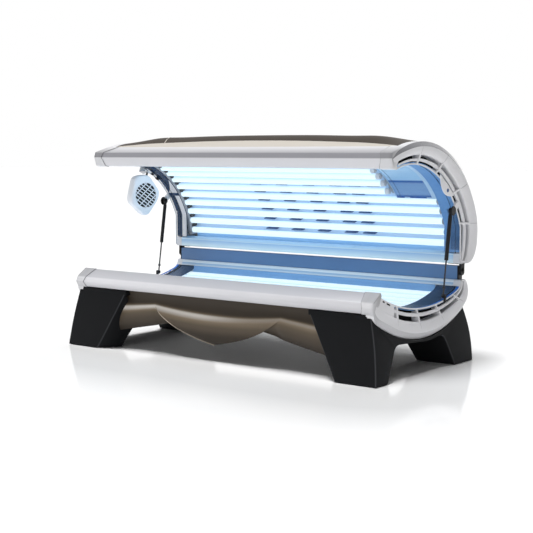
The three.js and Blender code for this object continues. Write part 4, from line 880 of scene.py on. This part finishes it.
# Canopy interior
lampStep = math.degrees(65 / 585)
firstLamp = 10.8
archPlaces = [onArch(585, firstLamp + k * lampStep) for k in range(14)]
archSheetLine = chained(arcLine(archAt, archR, 106.9, 22, 90), [(368, hoodFootZ + 62)])
putPiece("canopyAcrylic", [bar(strip(archSheetLine, 3, 7), -sheetEnd, sheetEnd, 0.8)], clearSheet, "canopy",
         ("canopy_acrylic",))
archReflector = arcLine(archAt, 612, 102, 5.5, 80)
vents = dict(rows=6, columns=(-300, -103, 93, 287, 416), extra=545, half=42, inner=586, spread=0.22)
slots = []
for row in range(vents["rows"]):
    middle = firstLamp + (row + 0.5) * lampStep
    vent = strip(arcLine(archAt, vents["inner"], middle + vents["spread"], middle - vents["spread"], 4), 0, 612 - vents["inner"])
    topmost = row == vents["rows"] - 1
    for x in vents["columns"] + (vents["extra"],) * topmost:
        slots.append(bar(vent, x - vents["half"], x + vents["half"], 0.3, np.ones(len(vent))))
mirrorSheet = bar(strip(archReflector, 0, 2), -holderX + 0.3, holderX - 0.3, 0.5)
putPiece("canopyReflector", [mirrorSheet] + slots, reflectorBlue, "canopy", ("canopy_reflector",))
# a faintly glowing blue strip at the reflector's low end: painted lamp light, it is no lamp
lowReflectorGlow = strip(arcLine(archAt, 612, 10.4, 5.6, 12), -1.6, -0.4)
putPiece("canopyRearGlowStrip", [bar(lowReflectorGlow, 4 - holderX, holderX - 4, 0.4)], paintedGlowBlue, "canopy", ())
for k in range(5):
    putPiece(f"canopyLamp{k + 1}", [lampAt(-950, 950, archPlaces[k], archAt)], lampGlow, "canopy", (f"canopy_lamp_{k + 1}",))
shortEnd = 643
putPiece("canopyShortLamps", [lampAt(-950, shortEnd, p, archAt) for p in archPlaces[5:]], lampGlow, "canopy",
         ("canopy_short_lamp_bank",))


def holderArc(first, last, deep, near=0):
    low, high = firstLamp + (first - 0.46) * lampStep, firstLamp + (last + 0.46) * lampStep
    return strip(arcLine(archAt, archR + 14, high, low, 30), near, deep)


longHolder = [bar(holderArc(0, 4, 52), holderX, holderX + 34, 1.2)]
putPair("CanopyLampHolder", longHolder, holderGrey, "canopy", "canopy_lamp_holder")
shortHolder = [bar(holderArc(5, 13, 52), -holderX - 34, -holderX, 1.2), bar(holderArc(5, 13, 45, 36), shortEnd - 6, shortEnd + 28, 1.2)]
shortEnds = [e for p in archPlaces[5:] for e in lampEnds(-950, shortEnd, p)]
longEnds = [e for p in archPlaces[:5] for e in lampEnds(-950, 950, p)]
gapShadeBlocks = []
for k in range(13):  # dark blocks between neighbouring lamps at the left end: painted shade in the gaps
    middle = firstLamp + (k + 0.5) * lampStep
    clip = strip(arcLine(archAt, 572, middle + 0.85, middle - 0.85, 4), 0, 30)
    gapShadeBlocks.append(bar(clip, -950, -926, 1.0, np.ones(len(clip))))
putPiece("canopyLampSockets", shortHolder + gapShadeBlocks + longEnds[1::2], holderGrey, "canopy", ())
putPiece("canopyShortSockets", shortEnds[1::2], socketWhite, "canopy", ())
coverArc = chained(arcLine(archAt, archR, 103, 22, 80), [(368, hoodFootZ + 62)])
coverOutline = strip(coverArc, 10.2, 13.2)
for side, sign in sides:  # the right cover is painted bright and the left one dark: lit and shaded copies of one navy, painted light; the right one has a darker inset
    coverFrom = holderX - 4 if sign > 0 else holderX + 14
    cover = bar(coverOutline, coverFrom, sheetEnd, 0.8, np.full(len(coverOutline), 1.0 if sign > 0 else 0.0))
    putPiece(f"{side}CanopyEndPanel", [cover if sign > 0 else mirrored(cover)], panelNavy if sign > 0 else coverNavyShadedCopy, "canopy",
             (f"{side}_canopy_end_panel",))
lowArc = chained(arcLine(archAt, archR, 36.5, 22, 24), [(368, hoodFootZ + 62)])
leftStrip = mirrored(bar(strip(lowArc, 9.0, 10.1), 960, 996, 0.4))


def coverGusset():
    # a three-cornered plate on the left cover: its left edge slants in as the arch goes up
    angle = np.linspace(39, 51, 24)[:, None]
    left = 1038 - 76 * ((angle - 39) / 12) ** 0.7
    x = -left + (left - 960) * np.linspace(0, 1, 6)
    x, radius = np.concatenate([x, x[:, ::-1]], 1), archR + np.repeat([9.0, 10.1], 6)
    a = np.radians(angle)
    return shell(np.stack([x, archAt[0] + radius * np.cos(a), archAt[1] + radius * np.sin(a)], -1), closeV=True, lids=True)


putPiece("canopyCoverStrips", [leftStrip, coverGusset()], capGrey, "canopy", ())
clipBox = box(-1040, -1026, archAt[0] + 544, archAt[0] + 552.8, archAt[1] - 13, archAt[1] + 13, 2, 1)
putPiece("canopySheetClips", [swung(clipBox, a, archAt) for a in (92, 85, 78, 60, 54)], blackMetal, "canopy", ())
insetLine = chained(arcLine(archAt, archR, 33, 22, 14), [(368, hoodFootZ + 76)])
putPiece("canopyPanelInset", [bar(strip(insetLine, 9.2, 10.6), 980, 1036, 0.5)], insetBlue, "canopy", ())

# Facial tray and glass
face = dict(x0=685, x1=940, seam=0.76, frame=9, low=firstLamp + 4.55 * lampStep, high=firstLamp + 13.5 * lampStep)
glassLine = arcLine(archAt, 563, face["high"], face["low"], 60)
glassRun = np.linspace(0, 1, len(glassLine))
glassTone = np.maximum(1 - ramp(0.012, 0.03, np.abs(glassRun - face["seam"])), ramp(0.955, 0.97, glassRun))
glassTone = np.maximum(glassTone, 0.5 * ramp(face["seam"] - 0.01, face["seam"] + 0.01, glassRun))
glass = bar(strip(glassLine, 0, 4.5), face["x0"], face["x1"], 1.0, np.concatenate([glassTone, glassTone[::-1]]))
putPiece("faceFilterGlass", [glass], faceBlue, "canopy", ("face_filter_glass",))
frameLine = strip(glassLine, -2.2, 0)
sideBars = [bar(frameLine, x, x + wide, 0.8) for x, wide in ((face["x0"] + 2, 5), (face["x1"] - 27, 26))]
clipLine = strip(arcLine(archAt, 563, face["low"] + 1.0, face["low"] + 0.2, 4), -3.4, 0)
sideBars += [bar(clipLine, x, x + 34, 0.8) for x in (face["x0"] + 56, face["x0"] + 196)]
putPiece("faceGlassFrame", sideBars, frameBlue, "canopy", ())
putPiece("faceGlassLine", [bar(strip(glassLine, -1.0, 0), face["x0"] + 30, face["x0"] + 33, 0.4)], buttonBlue, "canopy", ())
trayLine = arcLine(archAt, 568, face["high"], face["low"], 60)
putPiece("faceLampTray", [bar(strip(trayLine, 0, 42), face["x0"], face["x1"], 1.0)], sheetSteel, "canopy",
         ("face_lamp_tray",))

# Control plate and button
control = dict(x=1047.3, angle=52, button=10, half=92, belly=48)
lens = np.linspace(-1, 1, 25)  # the plate's inner edge swells out from the rim and runs back to it
inner = np.stack([archAt[0] + 554 - control["belly"] * (1 - lens**2), archAt[1] + control["half"] * lens], 1)
outerEdge = archAt + [[558, control["half"]], [563.5, 0], [558, -control["half"]]]
plate = swung(bar(np.concatenate([inner, outerEdge]), control["x"], control["x"] + 7, 2.0), control["angle"], archAt)
putPiece("controlPanel", [plate], capGrey, "canopy", ("control_panel",))
c, s = math.cos(math.radians(control["angle"])), math.sin(math.radians(control["angle"]))
buttonAt = archAt + [536 * c + 20 * s, 536 * s - 20 * c]
putPiece("controlButton", [pin(control["button"], control["x"] + 4.4, control["x"] + 10.5, buttonAt, 1.6, 40)], buttonBlue, "control_button",
         ("control_button",))
print("stage: canopy interior made")

# Body fan
pod = dict(x=-960, turn=12, depth=85, mouth=76, corner=34)
podAt = np.array([pod["x"], *onArch(374, 67.5)])
podWay = np.array([math.cos(math.radians(pod["turn"])), -math.sin(math.radians(pod["turn"])), 0])
podSide = np.array([-podWay[1], podWay[0], 0])
podUp = np.array([0, 0, 1.0])


def podPlace(u, v, w):
    return podAt + np.asarray(u)[..., None] * podSide + np.asarray(v)[..., None] * podUp + np.asarray(w)[..., None] * podWay


def podShell():
    # rings about the blowing axis: the softened outline scaled from the back to the face, then round mouth rings
    corners = np.array([(-102, -9), (-70, 119), (23, 125), (101, 21), (89, -29), (21, -118), (-11, -125), (-98, -45)])
    outline = filleted(corners * [1.07, 1.03], pod["corner"], 7, True)
    line = along(np.vstack([outline, outline[:1]]), np.linspace(0, 1, 121)[:-1])
    round_ = line / np.linalg.norm(line, axis=1)[:, None]
    rings = [(0.55, 0, -85), (0.7, 0, -84), (0.86, 0, -74), (0.96, 0, -58), (1, 0, -34), (1, 0, -14), (0.985, 0, -6), (0.95, 0, -1.5),
             (0.9, 0, 0), (0, 82, 1.5), (0, 78, 1.0), (0, 76.2, -1), (0, 76, -8), (0, 76, -54), (0, 40, -56)]
    scale = np.array(rings)
    flat = scale[:, 0, None, None] * line + scale[:, 1, None, None] * round_
    w = np.broadcast_to(scale[:, 2, None], flat.shape[:2])
    inside = np.arange(len(rings))[:, None] > 11
    return shell(podPlace(flat[..., 0], flat[..., 1], w), closeV=True, lids=True, tone=inside * np.ones(len(line)))


def podBar(u0, v0, u1, v1, w, half):
    # a flat bar in the mouth's plane from one point to another
    run = np.array([u1 - u0, v1 - v0])
    side = np.array([-run[1], run[0]]) / np.linalg.norm(run) * half
    ends = np.array([[u0, v0], [u1, v1]])
    corner = np.array([(1, -1), (1, 1), (-1, 1), (-1, -1)])
    flat = ends[:, None] + corner[None, :, :1] * side
    depth = np.broadcast_to(w + corner[:, 1] * 1.6, flat.shape[:2])
    return shell(podPlace(flat[..., 0], flat[..., 1], depth), closeV=True, lids=True)


putPiece("bodyFanHousing", [podShell()], podWhite, "body_fan", ("body_fan_housing",), 40)
tilt = math.radians(-34)
bars = []
for k in range(-3, 4):
    reach = math.sqrt(75.8**2 - (k * 19) ** 2)
    way = np.array([math.cos(tilt), math.sin(tilt)])
    mid = np.array([-way[1], way[0]]) * k * 19
    bars.append(podBar(*(mid - way * reach), *(mid + way * reach), -4.5, 2.6))
for k in (-1.5, -0.5, 0.5, 1.5):
    reach = math.sqrt(75.8**2 - (k * 34) ** 2)
    way = np.array([-math.sin(tilt - 0.25), math.cos(tilt - 0.25)])
    mid = np.array([way[1], -way[0]]) * k * 34
    bars.append(podBar(*(mid - way * reach), *(mid + way * reach), -4.5, 2.6))
putPiece("bodyFanGrille", bars, podWhite, "body_fan", ("body_fan_grille",))
swivelWay = np.array([0, math.cos(math.radians(67.5)), math.sin(math.radians(67.5))])
neck = [
    swung(box(-1055.3, -1047.3, archAt[0] + 522, archAt[0] + 574, archAt[1] - 24, archAt[1] + 24, 5, 1.5), 67.5, archAt),
    swung(box(-1055.3, -982.5, archAt[0] + 524, archAt[0] + 532, archAt[1] - 16, archAt[1] + 16, 3, 1.5), 67.5, archAt),
]
putPiece("bodyFanBracket", neck, capGrey, "canopy", ("body_fan_bracket",))
neckPin = [turned([[6, 461], [6, 530]], np.array([-1002.5, *archAt]), swivelWay, 24)]
putPiece("bodyFanPin", neckPin, blackMetal, "canopy", ())
print("stage: body fan made")

# Carried-over nodes keep their solids and get the same finishes
carried = {"bench_tub": None, "bench_ballast_bank": rodSteel, "cooling_fan_frame": fanBlack, "cooling_fan_rotor": fanBlack,
           "body_fan_rotor": fanBlack}
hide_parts("bench_tub")
for name, finish in carried.items():
    if finish:
        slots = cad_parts[name].data.materials
        slots.clear()
        slots.append(finish)
print("stage: carried nodes dressed")

# Floor, light, camera
stageSizes = dict(half=60.0, gloss=0.33, shine=0.8, ambient=0.12, top=3.0, front=0.6, rear=0.5)
floorMesh = bpy.data.meshes.new("studioFloor")
reach = stageSizes["half"]
floorMesh.from_pydata([(-reach, -reach, 0), (reach, -reach, 0), (reach, reach, 0), (-reach, reach, 0)], [], [(0, 1, 2, 3)])
floor = bpy.data.objects.new("studioFloor", floorMesh)
bpy.context.scene.collection.objects.link(floor)
floorFinish = bpy.data.materials.new("floorWhite")
floorFinish.use_nodes = True
tree = floorFinish.node_tree
tree.nodes.remove(tree.nodes["Principled BSDF"])
matt, mirror, mix = (tree.nodes.new("ShaderNode" + kind) for kind in ("BsdfDiffuse", "BsdfGlossy", "MixShader"))
matt.inputs["Color"].default_value = (0.97, 0.97, 0.97, 1)
mirror.inputs["Color"].default_value = (1, 1, 1, 1)
mirror.inputs["Roughness"].default_value = 0.09
# the mirror share falls away where ambient occlusion finds the floor covered: painted shade under the bed
shadeUnderBed, share = tree.nodes.new("ShaderNodeAmbientOcclusion"), tree.nodes.new("ShaderNodeMapRange")
shadeUnderBed.inputs["Distance"].default_value = 0.6
share.inputs["From Min"].default_value, share.inputs["From Max"].default_value = 0.36, 0.64
tree.links.new(shadeUnderBed.outputs["AO"], share.inputs["Value"])
spot, fade = tree.nodes.new("ShaderNodeTexCoord"), tree.nodes.new("ShaderNodeMapRange")
reached = spot.outputs["Object"]
for step, amount in (("ABSOLUTE", None), ("SUBTRACT", (1.08, 0.54, 0)), ("MAXIMUM", (0, 0, 0)), ("LENGTH", None)):
    node = tree.nodes.new("ShaderNodeVectorMath")  # together: how far a point lies outside the bed's footprint
    node.operation = step
    tree.links.new(reached, node.inputs[0])
    if amount:
        node.inputs[1].default_value = amount
    reached = node.outputs["Value" if step == "LENGTH" else "Vector"]
fade.inputs["From Min"].default_value, fade.inputs["From Max"].default_value = 0.45, 1.1
fade.inputs["To Min"].default_value, fade.inputs["To Max"].default_value = stageSizes["gloss"], 0
tree.links.new(reached, fade.inputs["Value"])
tree.links.new(fade.outputs["Result"], share.inputs["To Max"])
tree.links.new(share.outputs["Result"], mix.inputs[0])
tree.links.new(matt.outputs[0], mix.inputs[1])
tree.links.new(mirror.outputs[0], mix.inputs[2])
tree.links.new(mix.outputs[0], tree.nodes["Material Output"].inputs["Surface"])
floorMesh.materials.append(floorFinish)

world = bpy.data.worlds.new("studio")
bpy.context.scene.world = world
world.use_nodes = True
tree = world.node_tree
tree.nodes.clear()
path, out = tree.nodes.new("ShaderNodeLightPath"), tree.nodes.new("ShaderNodeOutputWorld")
sky = tree.nodes.new("ShaderNodeBackground")
sky.inputs["Color"].default_value = (1, 1, 1, 1)
level = stageSizes["ambient"]
for ray, strength in (("Is Glossy Ray", stageSizes["shine"]), ("Is Transmission Ray", 1.0), ("Is Camera Ray", 1.0)):
    choose = tree.nodes.new("ShaderNodeMix")  # white to the eye and through clear sheets, dimmer in reflections
    tree.links.new(path.outputs[ray], choose.inputs[0])
    if isinstance(level, float):
        choose.inputs[2].default_value = level
    else:
        tree.links.new(level, choose.inputs[2])
    choose.inputs[3].default_value = strength
    level = choose.outputs[0]
tree.links.new(level, sky.inputs["Strength"])
tree.links.new(sky.outputs[0], out.inputs["Surface"])

for name, place, wide, power in (
    ("topLight", (-0.3, -0.45, 3.2), 24, stageSizes["top"]),
    ("frontLight", (0.7, -3.0, 0.45), 40, stageSizes["front"]),
    ("rearLight", (-0.4, 3.0, 1.1), 40, stageSizes["rear"]),
):
    lamp = bpy.data.lights.new(name, "SUN")  # very wide suns: even soft light over the whole floor
    lamp.angle, lamp.energy = math.radians(wide), power
    holder = bpy.data.objects.new(name, lamp)
    holder.location = place
    holder.rotation_mode = "QUATERNION"
    holder.rotation_quaternion = (-Vector(place)).to_track_quat("-Z", "Y")
    bpy.context.scene.collection.objects.link(holder)

view = dict(place=(4103.755, -5314.52, 1150), heading=37.736, pitch=5.599, lens=78.89)
camera = bpy.data.objects.new("camera", bpy.data.cameras.new("camera"))
bpy.context.scene.collection.objects.link(camera)
h, p = math.radians(view["heading"]), math.radians(view["pitch"])
look = Vector((-math.sin(h) * math.cos(p), math.cos(h) * math.cos(p), -math.sin(p)))
camera.location = ((Vector(view["place"]) + Vector((0, shiftY, 0))) * 0.001)
camera.rotation_mode = "QUATERNION"
camera.rotation_quaternion = look.to_track_quat("-Z", "Y")
camera.data.lens, camera.data.sensor_width = view["lens"], 36
bpy.context.scene.camera = camera
bpy.context.scene.view_settings.view_transform = "Standard"
print("stage: studio set")
